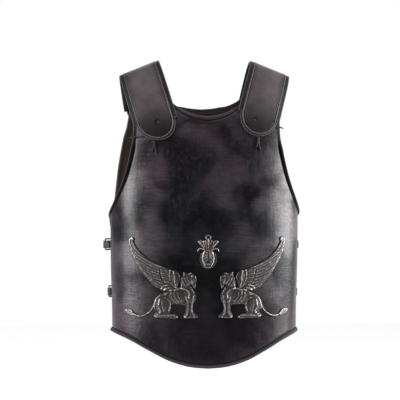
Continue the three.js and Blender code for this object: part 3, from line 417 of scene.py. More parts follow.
def shade(value, start, end):
    """A smooth climb from 0 at the start to 1 at the end."""
    t = np.clip((value - start) / (end - start), 0, 1)
    return t * t * (3 - 2 * t)


def plate_edges(plate):
    """The bottom, top and outer edge of the left half, as turn times half width and drop."""
    scale = CHEST_HALF_WIDTH
    side_turn = plate["side_turn"]

    def neck_at(share, rise):
        drop = plate["neck_drop"] + (TAB_DROP - plate["neck_drop"]) * rise
        return (turn_at(NECK_HALF_WIDTH * share, drop) * scale, drop)

    tab = (turn_at(TAB_HALF_WIDTH, TAB_DROP) * scale, TAB_DROP)
    neck = smooth_line([neck_at(s, r) for s, r in zip(NECK_ACROSS, NECK_RISE)])
    top = np.concatenate([neck, smooth_line([neck_at(1, 1), tab])[1:]])
    bottom = smooth_line([
        (s * side_turn * scale, plate["low_drop"] + (SIDE_DROP - plate["low_drop"]) * r)
        for s, r in zip(BOTTOM_TURN, BOTTOM_RISE)
    ])
    armhole = [
        (t * side_turn * scale, d * ARMHOLE_DROP)
        for t, d in zip(plate["armhole_turn"], plate["armhole_drop"])
    ]
    armhole[-1] = tab
    armhole = smooth_line(armhole)
    side = smooth_line([(side_turn * scale, SIDE_DROP), (side_turn * scale, ARMHOLE_DROP)])
    outer = np.concatenate([side, armhole[1:]])
    shares = (
        lengths_of(neck)[-1] / lengths_of(top)[-1],
        lengths_of(side)[-1] / lengths_of(outer)[-1],
    )
    return bottom, top, outer, shares


def rim_profile(distance):
    """Height of the turned-out rim at a distance in from the edge."""
    turned = LIP_RISE * np.clip(1 - distance / LIP_WIDTH, 0, 1) ** 2
    across = (distance - BEAD_WIDTH / 2) / (BEAD_WIDTH / 2)
    roll = BEAD_RISE * np.sqrt(np.clip(1 - across**2, 0, 1))
    groove = GROOVE_DEPTH * np.exp(-(((distance - GROOVE_PLACE) / GROOVE_WIDTH) ** 2))
    return turned + roll - groove


def plate_surface(name):
    """Points, normals, rise over the form and distance from the edge, on one grid."""
    plate = PLATES[name]
    front = name == "breastplate"
    turn = turn_behind_side(plate["side_length"], SIDE_DROP)
    plate["side_turn"] = turn if front else math.pi - turn
    bottom, top, outer, (neck_share, side_share) = plate_edges(plate)
    u = stepped(COLUMN_STOPS, COLUMN_STEPS)
    v = stepped(ROW_STOPS, ROW_STEPS)
    below, above, beside = along(bottom, u), along(top, u), along(outer, v)
    centre = np.stack([0 * v, plate["low_drop"] + (plate["neck_drop"] - plate["low_drop"]) * v], -1)
    uu, vv = u[None, :, None], v[:, None, None]
    spots = below[None] * (1 - vv) + above[None] * vv
    spots = spots + centre[:, None] * (1 - uu) + beside[:, None] * uu
    spots -= (1 - uu) * (1 - vv) * below[0] + uu * (1 - vv) * below[-1]
    spots -= (1 - uu) * vv * above[0] + uu * vv * above[-1]
    turns = np.concatenate([-spots[:, :0:-1, 0], spots[:, :, 0]], 1) / CHEST_HALF_WIDTH
    drops = np.concatenate([spots[:, :0:-1, 1], spots[:, :, 1]], 1)
    if not front:
        turns = math.pi - turns
    points, normals = body_point(turns, drops), body_normal(turns, drops)

    # Distance from each edge, measured in millimetres along the grid lines
    half = points[:, len(u) - 1 :]
    steps = np.linalg.norm(np.diff(half, axis=1), axis=-1)
    from_side = np.concatenate([np.cumsum(steps[:, ::-1], 1)[:, ::-1], 0 * v[:, None]], 1)
    climbs = np.linalg.norm(np.diff(half, axis=0), axis=-1)
    from_bottom = np.concatenate([0 * u[None], np.cumsum(climbs, 0)], 0)
    from_neck = from_bottom[-1:] - from_bottom
    strap_start = side_share + (1 - side_share) * STRAP_COVER
    armhole = shade(v, side_share - LIP_FADE, side_share)
    armhole = armhole * (1 - shade(v, strap_start, strap_start + LIP_FADE))
    neck = 1 - shade(u, neck_share - NECK_FADE[0], neck_share - NECK_FADE[1])
    rise = np.stack([
        rim_profile(from_side) * armhole[:, None],
        rim_profile(from_neck) * neck[None, :],
        rim_profile(from_bottom) * np.ones_like(from_bottom),
    ])
    strongest = np.abs(rise).argmax(0)
    rise = np.take_along_axis(rise, strongest[None], 0)[0]
    rise = np.concatenate([rise[:, :0:-1], rise], 1)
    edge = np.minimum(np.minimum(from_side, from_neck), from_bottom)
    edge = np.concatenate([edge[:, :0:-1], edge], 1)
    return points, normals, rise, edge


def store(piece, name, values):
    """A number for each point of the mesh, which a material reads."""
    layer = piece.data.attributes.new(name, "FLOAT", "POINT")
    layer.data.foreach_set("value", np.asarray(values, np.float32))


# Vegetable-tanned leather, dyed black over oxblood and burnished with wax: dark cloudy mottling, a
# soft gloss that is broken where the wax is thin, and fine creases where the moulding stretched it.
# The rim is black, partly dye and partly painted shade, and its bead and very edge are lighter,
# partly wear and partly painted highlight. The flesh side is a plain dark suede.
PLATE_INK = "#09090c"
PLATE_OXBLOOD = "#372e34"
PLATE_RED = "#3b2830"
PLATE_BLUE_BLACK = "#1d1e27"
PLATE_SCUFF = "#544c54"
PLATE_CREASE = "#43343a"
# Rim black stands for dye and painted shade; the bead and edge greys for wear and painted highlight
PLATE_RIM_DYE_AND_SHADE = "#050506"
PLATE_BEAD_WEAR_AND_HIGHLIGHT = "#353135"
PLATE_EDGE_WEAR_AND_HIGHLIGHT = "#4a4548"
PLATE_FLESH = "#2c2321"
# The waist, in metres under the shoulders: the red dye shows more, the farther from it
WAIST_DROP = 0.37
plate_leather, tree = skin("burnished_vegetable_tanned_leather")
place = add(tree, "ShaderNodeTexCoord").outputs["Object"]
noises = []
for mapping, scale, detail, roughness, distortion in (
    # Clouds of dye about 70 mm across, cold ones about 110 mm, and flecks about 8 mm
    ({"Location": (0.37, 0.61, 0.28)}, 14, 2.5, 0.45, 0.3),
    ({"Location": (3.1, 1.7, 5.3)}, 9, 2, 0.4, 0.3),
    ({}, 120, 6, 0.7, 0),
    # Creases lie level, about 4 mm apart, and scuffs run down, about 8 mm apart
    ({"Scale": (28, 28, 250)}, 1, 4, 0.6, 0.8),
    ({"Scale": (120, 120, 26)}, 1, 5, 0.65, 0.9),
    # Wandering hairlines of craze, about 3 mm apart and 30 mm long: level ones and upright ones
    ({"Scale": (34, 34, 300)}, 1, 3, 0.65, 1.3),
    ({"Scale": (300, 300, 34)}, 1, 3, 0.65, 1.3),
):
    noises.append(add(tree, "ShaderNodeTexNoise", {
        "Vector": add(tree, "ShaderNodeMapping", {"Vector": place, **mapping}),
        "Scale": scale, "Detail": detail, "Roughness": roughness, "Distortion": distortion,
    }))
clouds, chill, flecks, creases, scuffs, level_craze, upright_craze = noises
cloud_steps, chill_steps, fleck_steps, crease_steps, scuff_steps = (
    add(tree, "ShaderNodeMapRange", {
        "interpolation_type": kind, "From Min": low, "From Max": high, "To Max": most,
        "Value": noise,
    })
    for noise, kind, low, high, most in (
        (clouds, "SMOOTHSTEP", 0.38, 0.66, 1.0),
        (chill, "SMOOTHSTEP", 0.42, 0.7, 1.0),
        (flecks, "LINEAR", 0.54, 0.8, 0.4),
        (creases, "LINEAR", 0.52, 0.7, 0.45),
        (scuffs, "LINEAR", 0.55, 0.78, 0.22),
    )
)
# Between the chest and the belly the top dye is cold and whole; above and below it the red shows
place_parts = add(tree, "ShaderNodeSeparateXYZ", {0: place})
height = place_parts.outputs["Z"]
from_waist = add(tree, "ShaderNodeMath", {"operation": "ADD", 0: height, 1: WAIST_DROP})
from_waist = add(tree, "ShaderNodeMath", {"operation": "ABSOLUTE", 0: from_waist})
warmth = add(tree, "ShaderNodeMapRange", {
    "interpolation_type": "SMOOTHSTEP", "From Min": 0.06, "From Max": 0.17, "To Max": 0.5,
    "Value": from_waist,
})
coldness = add(tree, "ShaderNodeMath", {
    "operation": "SUBTRACT", "use_clamp": True, 0: 1.0, 1: warmth,
})
# Creases show in the warm clouds only
red_share, chill_share, crease_share = (
    add(tree, "ShaderNodeMath", {"operation": "MULTIPLY", 0: one, 1: other})
    for one, other in ((clouds, warmth), (chill_steps, coldness), (crease_steps, cloud_steps))
)
dyed = add(tree, "ShaderNodeMix", {
    "data_type": "RGBA", 6: linear(PLATE_INK), 7: linear(PLATE_OXBLOOD), 0: cloud_steps,
})
for share, colour in (
    (red_share, PLATE_RED),
    (chill_share, PLATE_BLUE_BLACK),
    (fleck_steps, PLATE_SCUFF),
    (scuff_steps, PLATE_SCUFF),
    (crease_share, PLATE_CREASE),
):
    dyed = add(tree, "ShaderNodeMix", {"data_type": "RGBA", 7: linear(colour), 0: share, 6: dyed})
# The craze is level, and upright in the cold clouds
craze = add(tree, "ShaderNodeMix", {0: chill_steps, 2: level_craze, 3: upright_craze})
craze_tone, craze_sheen = (
    add(tree, "ShaderNodeMapRange", {
        "From Min": 0.32, "From Max": 0.68, "To Min": least, "To Max": most, "Value": craze,
    })
    for least, most in ((0.5, 1.6), (0.8, 1.2))
)
dyed = add(tree, "ShaderNodeMix", {
    "data_type": "RGBA", "blend_type": "MULTIPLY", 0: 1.0, 6: dyed, 7: craze_tone,
})
# Darker over the belly, an oval 280 mm wide and 440 mm tall
belly = add(tree, "ShaderNodeVectorMath", {
    "operation": "DISTANCE", 1: (0, 0, -2.15),
    0: add(tree, "ShaderNodeMapping", {"Scale": (7.1, 0, 4.5), "Vector": place}),
})
darker_belly = add(tree, "ShaderNodeMapRange", {
    "interpolation_type": "SMOOTHSTEP", "From Min": 0.3, "From Max": 1.15, "To Min": 0.82,
    "To Max": 0.0, "Value": belly,
})
from_edge = add(tree, "ShaderNodeAttribute", {"attribute_name": "from_edge"}).outputs["Fac"]
# The rim is black, partly dye and partly painted shade of the turned-out lip and its groove. Along
# the bottom and the neck the bead is lighter grey, partly wear and partly painted highlight, and
# round the armholes it stays black. The very edge is lighter all round, also partly painted
# highlight.
rim, bead_wear_and_highlight, lightened = (
    add(tree, "ShaderNodeMapRange", {
        "From Min": full, "From Max": none, "To Min": most, "To Max": 0.0, "Value": from_edge,
    })
    for full, none, most in ((6.5, 10.0, 1.0), (4.6, 6.0, 1.0), (0.6, 2.2, 0.8))
)
below, above = (
    add(tree, "ShaderNodeMapRange", {"From Min": start, "From Max": end, "Value": height})
    for start, end in ((-0.5, -0.56), (-0.15, -0.12))
)
wear_and_painted_light = add(tree, "ShaderNodeMath", {"operation": "MAXIMUM", 0: below, 1: above})
bead_wear_and_highlight = add(tree, "ShaderNodeMath", {"operation": "MULTIPLY", 0: bead_wear_and_highlight, 1: wear_and_painted_light})
flesh = add(tree, "ShaderNodeAttribute", {"attribute_name": "flesh"}).outputs["Fac"]
for share, colour in (
    (darker_belly, PLATE_INK),
    (rim, PLATE_RIM_DYE_AND_SHADE),
    (bead_wear_and_highlight, PLATE_BEAD_WEAR_AND_HIGHLIGHT),
    (lightened, PLATE_EDGE_WEAR_AND_HIGHLIGHT),
    (flesh, PLATE_FLESH),
):
    dyed = add(tree, "ShaderNodeMix", {"data_type": "RGBA", 7: linear(colour), 0: share, 6: dyed})
# Roughness: smoothest between the clouds of dye, rougher on them and on the flecks, and matt on
# the rim and the flesh side
thin = add(tree, "ShaderNodeMath", {"operation": "MULTIPLY_ADD", 1: 0.2, 0: flecks, 2: clouds})
wax = add(tree, "ShaderNodeMapRange", {
    "From Min": 0.35, "From Max": 0.85, "To Min": 0.26, "To Max": 0.38, "Value": thin,
})
matt_rim = add(tree, "ShaderNodeMapRange", {"To Max": 0.7, "Value": rim, "To Min": wax})
gloss = add(tree, "ShaderNodeMapRange", {"To Max": 0.85, "Value": flesh, "To Min": matt_rim})
dry = add(tree, "ShaderNodeMath", {"operation": "MAXIMUM", 0: rim, 1: flesh})
# The wax shines on the high clouds, a third as much between them, and less on the back
waxed = add(tree, "ShaderNodeMapRange", {
    "interpolation_type": "SMOOTHSTEP", "From Min": 0.36, "From Max": 0.62, "To Min": 0.18,
    "To Max": 0.56, "Value": clouds,
})
less_behind = add(tree, "ShaderNodeMapRange", {
    "From Min": 0.03, "From Max": 0.09, "To Min": 1.0, "To Max": 0.4,
    "Value": place_parts.outputs["Y"],
})
for share in (craze_sheen, less_behind):
    waxed = add(tree, "ShaderNodeMath", {"operation": "MULTIPLY", 0: waxed, 1: share})
# It is rubbed off near the bottom, and there is little on the rim and the flesh side
worn_off = add(tree, "ShaderNodeMapRange", {
    "From Min": -0.46, "From Max": -0.57, "To Max": 0.2, "Value": height, "To Min": waxed,
})
sheen = add(tree, "ShaderNodeMapRange", {"To Max": 0.15, "Value": dry, "To Min": worn_off})
# Grain cells about 1.6 mm across
grain = add(tree, "ShaderNodeTexVoronoi", {"Scale": 620, "Vector": place})
fine = add(tree, "ShaderNodeBump", {"Strength": 0.07, "Distance": 0.0004, "Height": grain})
ripples = add(tree, "ShaderNodeMath", {"operation": "ADD", 0: creases, 1: scuffs})
bump = add(tree, "ShaderNodeBump", {
    "Strength": 0.3, "Distance": 0.0012, "Height": ripples, "Normal": fine,
})
surface = add(tree, "ShaderNodeBsdfPrincipled", {
    "IOR": 1.5, "Base Color": dyed, "Roughness": gloss, "Specular IOR Level": sheen, "Normal": bump,
})
add(tree, "ShaderNodeOutputMaterial", {"Surface": surface})

for name, body in (("breastplate", "front"), ("backplate", "back")):
    points, normals, rise, edge = plate_surface(name)
    piece = leather_sheet(
        f"{name}_shell", points, normals, rise, PLATE_THICKNESS, PLATE_ROUND_OUT, plate_leather
    )
    count = len(piece.data.vertices)
    at_rim = np.zeros(count - 2 * edge.size)
    store(piece, "from_edge", np.concatenate([edge.ravel(), edge.ravel(), at_rim]))
    store(piece, "flesh", np.arange(count) < edge.size)
    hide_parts(name)
    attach(piece, body)


# Shoulder straps: two broad bands of matt oiled leather over the shoulders. The flesh side is
# lined with a second layer whose edge shows as a border, and each end is cut round, with a small
# ear on both sides where the border stops, and one punched hole at the front.

STRAP_WIDTH = 88
STRAP_THICKNESS = 4.6
STRAP_SEAT = 0.5
STRAP_EAR_STEP = 5
CREST_OFFSET = 137.5
CREST_DROP = 13
CREST_FLAT = 12
CREST_SLOPE = math.radians(22)
REAR_EAR_SLOPE = math.radians(10.6)
FRONT_EAR_SLOPES = {"right": math.radians(11), "left": math.radians(18)}
STRAP_JOIN_DROP = 84
JOIN_STEP = 0.3
FRONT_ENDS = {"right": (165, 95.5), "left": (155, 95.5)}
REAR_END = (128, 116)
END_TURN = math.radians(89)
# How far the hole lies above the round end's tip, and to the neck's side of the middle
STRAP_HOLES = {"right": (36, 2), "left": (32, 5.5)}
STRAP_HOLE_RADIUS = 2.9
STRAP_ROUND_OUT = 0.8
# A point inside the body, from which both straps face away
STRAP_HEART = np.array([0, 0, -165.0])
BORDER_WIDTH = 8.8
BORDER_STEP = 0.7
BORDER_BEAD = 0.9
BORDER_GROOVE = 0.6
# The bead and the seam's groove lie this far inside the border
BEAD_INSET, BEAD_HALF = 0.6, 0.8
SEAM_INSET, SEAM_HALF = 2.4, 0.7
SIDES = {"right": -1, "left": 1}


def strap_half(side, front):
    """Points of one half, from the crest to its round end, as a function of across and row."""
    sign = SIDES[side]
    end_drop, end_offset = FRONT_ENDS[side] if front else REAR_END
    ear_slope = FRONT_EAR_SLOPES[side] if front else REAR_EAR_SLOPE
    half_width = STRAP_WIDTH / 2
    end_radius = half_width - STRAP_EAR_STEP
    ear_drop = end_drop - end_radius
    lean = (CREST_OFFSET - end_offset) / (end_drop - CREST_DROP)
    facing = -1 if front else 1

    def lying(middle_drop, t):
        share = (middle_drop - CREST_DROP) / (ear_drop - CREST_DROP)
        slope = CREST_SLOPE + (ear_slope - CREST_SLOPE) * share
        x = end_offset + lean * (end_drop - middle_drop) + t * np.cos(slope)
        drop = middle_drop + t * np.sin(slope)
        turn = turn_at(sign * x, drop)
        return body_point(turn if front else math.pi - turn, drop)

    def crest(forward, t):
        forward, t = np.broadcast_arrays(np.asarray(forward, float), np.asarray(t, float))
        x = sign * (CREST_OFFSET + t * math.cos(CREST_SLOPE))
        return np.stack([x, facing * forward, -CREST_DROP - t * math.sin(CREST_SLOPE)], -1)

    def bridge(share, t):
        start, end = crest(CREST_FLAT, t), lying(STRAP_JOIN_DROP, t)
        stretch = np.linalg.norm(end - start, axis=-1, keepdims=True)
        leave = np.array([0, facing, 0]) * stretch
        arrive = unit(lying(STRAP_JOIN_DROP + JOIN_STEP, t) - end) * stretch
        a, b, c = share, share**2, share**3
        near = start * (2 * c - 3 * b + 1) + leave * (c - 2 * b + a)
        return near + end * (3 * b - 2 * c) + arrive * (c - b)

    def point(across, row):
        angle = (row - 3) * END_TURN
        width = half_width if row <= 3 else end_radius * math.cos(angle)
        t = across * width
        if row <= 1:
            return crest(CREST_FLAT * row, t)
        if row <= 2:
            return bridge(row - 1, t)
        if row <= 3:
            return lying(STRAP_JOIN_DROP + (ear_drop - STRAP_JOIN_DROP) * (row - 2), t)
        return lying(ear_drop + end_radius * math.sin(angle), t)

    def inset(across, row):
        """How far a point of the flat strap lies in from the outline that has no ears."""
        angle = (row - 3) * END_TURN
        if row <= 3:
            return half_width * (1 - np.abs(across))
        t = across * end_radius * math.cos(angle)
        return half_width - np.hypot(t, end_radius * math.sin(angle))

    return point, inset, lying


def across_steps(stop, inner, outer):
    """Steps from -1 to 1 across a band, with other steps between the stops and its edges."""
    left = -stepped([1, stop, 0], [outer, inner])[:-1]
    return np.concatenate([left, stepped([0, stop, 1], [inner, outer])])


def strap_grid(side):
    """Points of the whole strap, with their distance in from the border's line and the edge."""
    across = across_steps(0.66, 12, 28)
    # Steps on the crest, over the bend and down to the ears
    down = stepped([0, 1, 2, 3], [3, 26, 10])
    # The end's rows crowd towards its tip, where a row covers little of the circle
    round_end = 3 + np.sin(np.linspace(0.0, math.pi / 2, 40)) ** 0.9
    round_end[0] = 3.002
    rows = np.concatenate([down, round_end])
    grids = {}
    for half in ("front", "rear"):
        point, inset, _ = strap_half(side, half == "front")
        grids[half] = (
            np.stack([point(across, row) for row in rows]),
            np.stack([inset(across, row) for row in rows]),
            np.stack([inset(across, row) - STRAP_EAR_STEP * (row > 3) for row in rows]),
        )
    pairs = zip(grids["rear"], grids["front"])
    return [np.concatenate([rear[:0:-1], front]) for rear, front in pairs]


def grid_normals(points, outside_of):
    wide = np.gradient(points, axis=1)
    long = np.gradient(points, axis=0)
    normals = unit(np.cross(wide, long) + 1e-12)
    flip = ((points - outside_of) * normals).sum(-1) < 0
    normals[flip] *= -1
    return normals


# Oiled bridle leather, worn matt: warm grey-brown in the middle, black at the dyed edges
STRAP_MIDDLE = "#51474b"
STRAP_SHADOW = "#3a3235"
# Nearly black: dye, and painted shade round the hole and at the front end. The grey: worn flecks,
# and lighter places that are partly painted highlight
STRAP_DARK_DYE_AND_SHADE = "#100f11"
STRAP_WEAR_AND_HIGHLIGHT = "#676465"
STRAP_ROUGHNESS = 0.55


def strap_skin(name, middle, shadow, dark_colour, bead_colour, roughness):
    """Strap leather, which reads its darkening and its lighter places from the mesh. On the
    shoulder straps these hold painted shade and painted highlight as well as dye and wear.
    """
    material, tree = skin(name)
    place = add(tree, "ShaderNodeTexCoord").outputs["Object"]
    # Stains about 40 mm across and rubbed flecks of 6 mm
    clouds = add(tree, "ShaderNodeTexNoise", {
        "Scale": 26, "Detail": 6, "Roughness": 0.65, "Vector": place,
    })
    steps = add(tree, "ShaderNodeMapRange", {"From Min": 0.36, "From Max": 0.66, "Value": clouds})
    worn = add(tree, "ShaderNodeTexNoise", {
        "Scale": 160, "Detail": 5, "Roughness": 0.7, "Vector": place,
    })
    worn_steps = add(tree, "ShaderNodeMapRange", {
        "From Min": 0.58, "From Max": 0.75, "To Max": 0.4, "Value": worn,
    })
    colour = add(tree, "ShaderNodeMix", {
        "data_type": "RGBA", 6: linear(shadow), 7: linear(middle), 0: steps,
    })
    darkening, bead = (
        add(tree, "ShaderNodeAttribute", {"attribute_name": label}).outputs["Fac"]
        for label in ("darker_tone", "lightened")
    )
    for share, tone in ((worn_steps, bead_colour), (darkening, dark_colour), (bead, bead_colour)):
        colour = add(tree, "ShaderNodeMix", {
            "data_type": "RGBA", 7: linear(tone), 0: share, 6: colour,
        })
    grain = add(tree, "ShaderNodeTexVoronoi", {"Scale": 700, "Vector": place})
    bump = add(tree, "ShaderNodeBump", {"Strength": 0.2, "Distance": 0.0004, "Height": grain})
    # Darkened places throw back less light; on the edges the dye dries the surface
    sheen = add(tree, "ShaderNodeMapRange", {
        "To Min": 0.5, "To Max": 0.12, "Value": darkening,
    })
    surface = add(tree, "ShaderNodeBsdfPrincipled", {
        "IOR": 1.45, "Roughness": roughness, "Base Color": colour, "Specular IOR Level": sheen,
        "Normal": bump,
    })
    add(tree, "ShaderNodeOutputMaterial", {"Surface": surface})
    return material


strap_leather = strap_skin(
    "oiled_bridle_leather", STRAP_MIDDLE, STRAP_SHADOW, STRAP_DARK_DYE_AND_SHADE, STRAP_WEAR_AND_HIGHLIGHT,
    STRAP_ROUGHNESS,
)


def subtract(piece, shape, meets_itself=False):
    """Cuts a bmesh solid out of a closed piece."""
    mesh = bpy.data.meshes.new("drill")
    shape.to_mesh(mesh)
    shape.free()
    drill = put("drill", mesh)
    cut = piece.modifiers.new("hole", "BOOLEAN")
    cut.object = drill
    cut.solver = "EXACT"
    cut.use_self = meets_itself
    bake_modifiers(piece)
    bpy.data.objects.remove(drill)


def cut_hole(piece, centre, direction, radius, depth, sides=20):
    """Drills a round hole through a closed piece."""
    shape = bmesh.new()
    bmesh.ops.create_cone(
        shape, cap_ends=True, segments=sides,
        radius1=radius * MM, radius2=radius * MM, depth=depth * MM,
    )
    turn = Vector((0, 0, 1)).rotation_difference(Vector(direction)).to_matrix().to_4x4()
    there = Matrix.Translation(Vector(centre) * MM) @ turn
    bmesh.ops.transform(shape, matrix=there, verts=shape.verts)
    subtract(piece, shape)


def bake_modifiers(piece):
    """Leaves the piece with its modified shape as a plain mesh."""
    graph = bpy.context.evaluated_depsgraph_get()
    mesh = bpy.data.meshes.new_from_object(piece.evaluated_get(graph))
    piece.modifiers.clear()
    piece.data = mesh
    return piece


for side in SIDES:
    points, inset, edge = strap_grid(side)
    normals = grid_normals(points, STRAP_HEART)
    drops = -points[..., 2]
    step = -BORDER_STEP * (1 - shade(inset, BORDER_WIDTH - 1.2, BORDER_WIDTH - 0.4))
    ridge = np.exp(-(((inset - BORDER_WIDTH - BEAD_INSET) / BEAD_HALF) ** 2))
    groove = np.exp(-(((inset - BORDER_WIDTH - SEAM_INSET) / SEAM_HALF) ** 2))
    rise = STRAP_SEAT + STRAP_THICKNESS + step + BORDER_BEAD * ridge - BORDER_GROOVE * groove
    strap = leather_sheet(
        f"shoulder_strap_{side}", points, normals, rise, STRAP_THICKNESS - BORDER_STEP,
        STRAP_ROUND_OUT, strap_leather,
    )
    end_drop, _ = FRONT_ENDS[side]
    hole_rise, hole_inset = STRAP_HOLES[side]
    under = strap_half(side, True)[2](end_drop - hole_rise, -hole_inset)
    out = body_normal(turn_at(under[0], -under[2]), -under[2])
    centre = under + out * (STRAP_SEAT + STRAP_THICKNESS / 2)
    # Dyed darkest on the border, with painted shade round the hole, and darker towards the front
    # round end's tip, partly wear from handling and partly painted shade.
    # The lining and the cut edge are dyed nearly black.
    border = 0.85 * (1 - shade(inset, BORDER_WIDTH - 2, BORDER_WIDTH + 0.2)) + 0.6 * groove
    soft = 0.55 * (1 - shade(inset, BORDER_WIDTH, BORDER_WIDTH + 15))
    wear_and_painted_light = 0.9 * shade(drops, end_drop - 100, end_drop - 10) * (points[..., 1] < 0)
    hole_shade = 1 - shade(np.linalg.norm(points - centre, axis=-1), 4.5, 10)
    darkening = np.full(len(strap.data.vertices), 0.7)
    darkening[: edge.size] = 0.9
    darkening[edge.size : 2 * edge.size] = np.max([border, soft, wear_and_painted_light, hole_shade], axis=0).ravel()
    # Lighter places: the cut edge, the bead along the border, more so down towards the ends, and
    # the cut edge's corner, partly wear and partly painted highlight
    lightened = np.full(len(strap.data.vertices), 0.3)
    lightened[: edge.size] = 0
    worn = (0.3 + 0.6 * shade(drops, 50, 120)) * ridge
    corner = 0.45 * (1 - shade(edge, 0.4, 1.6))
    lightened[edge.size : 2 * edge.size] = np.maximum(worn, corner).ravel()
    store(strap, "darker_tone", darkening)
    store(strap, "lightened", lightened)
    cut_hole(strap, centre, out, STRAP_HOLE_RADIUS, 3 * STRAP_THICKNESS)
    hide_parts(f"shoulder_strap_front_{side}", f"shoulder_strap_rear_{side}")
    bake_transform(strap)


# Griffins: two seated beasts cast in pewter, the left one a mirror image of the right, each held by
# three studs that are peened over washers inside the breastplate. The casting is low relief with a
# rounded outline, its hollows left black and its high lines rubbed bright.

GRIFFIN_WIDTH = 149
GRIFFIN_HEIGHT = 167.5
GRIFFIN_INSET = 21
GRIFFIN_BASE_DROP = 530
CAST_EDGE = 1.0
CAST_RISE = 1.7
CAST_ROUND = 2.4
CAST_SINK = 0.5
CAST_STEP = 0.65
# Outlines, as shares of the figure's width from its outer end and of its height
WING = [
    (0.1, 0.993), (0.141, 0.965), (0.127, 0.94), (0.15, 0.892), (0.19, 0.837), (0.28, 0.758),
    (0.397, 0.691), (0.527, 0.63), (0.643, 0.593), (0.691, 0.583), (0.739, 0.551), (0.759, 0.502),
    (0.736, 0.417), (0.718, 0.362), (0.622, 0.337), (0.527, 0.337), (0.472, 0.362), (0.424, 0.38),
    (0.376, 0.423), (0.301, 0.498), (0.253, 0.544), (0.174, 0.654), (0.137, 0.709), (0.103, 0.776),
    (0.079, 0.837), (0.066, 0.898), (0.064, 0.959),
]
BEAST = [
    (0.65, 0.35), (0.759, 0.398), (0.759, 0.435), (0.77, 0.484), (0.793, 0.52), (0.803, 0.569),
    (0.855, 0.551), (0.889, 0.562), (0.944, 0.541), (0.975, 0.508), (0.981, 0.459), (0.971, 0.392),
    (0.953, 0.359), (0.927, 0.392), (0.903, 0.417), (0.921, 0.368), (0.951, 0.325), (0.971, 0.276),
    (0.969, 0.216), (0.937, 0.167), (0.93, 0.118), (0.951, 0.069), (1.0, 0.033), (0.995, 0.009),
    (0.896, 0.001), (0.814, 0.004), (0.803, 0.033), (0.825, 0.082), (0.825, 0.155), (0.732, 0.167),
    (0.647, 0.167), (0.636, 0.106), (0.629, 0.06), (0.691, 0.057), (0.732, 0.027), (0.725, 0.0),
    (0.554, 0.0), (0.424, 0.005), (0.398, 0.033), (0.438, 0.082), (0.404, 0.118), (0.397, 0.179),
    (0.424, 0.24), (0.479, 0.285), (0.54, 0.313),
]
TAIL = [
    (0.424, 0.228), (0.401, 0.161), (0.369, 0.1), (0.315, 0.054), (0.239, 0.022), (0.171, 0.026),
    (0.123, 0.054),
]
TAIL_HALF = 1.7
TUFT = [
    (0.137, 0.06), (0.082, 0.104), (0.003, 0.091), (0.034, 0.051), (0.089, 0.026), (0.137, 0.023),
]
# Rounded masses: middle, half width, half height, lean, rise in millimetres
GRIFFIN_SWELLS = [
    ((0.505, 0.185), 0.088, 0.115, 0.2, 2.2),
    ((0.88, 0.29), 0.075, 0.11, 0.15, 2.2),
    ((0.83, 0.42), 0.055, 0.1, -0.3, 1.5),
    ((0.9, 0.475), 0.065, 0.06, 0.0, 2.0),
    ((0.69, 0.47), 0.05, 0.105, 0.2, 1.6),
    ((0.73, 0.27), 0.13, 0.085, 0.0, 1.4),
]
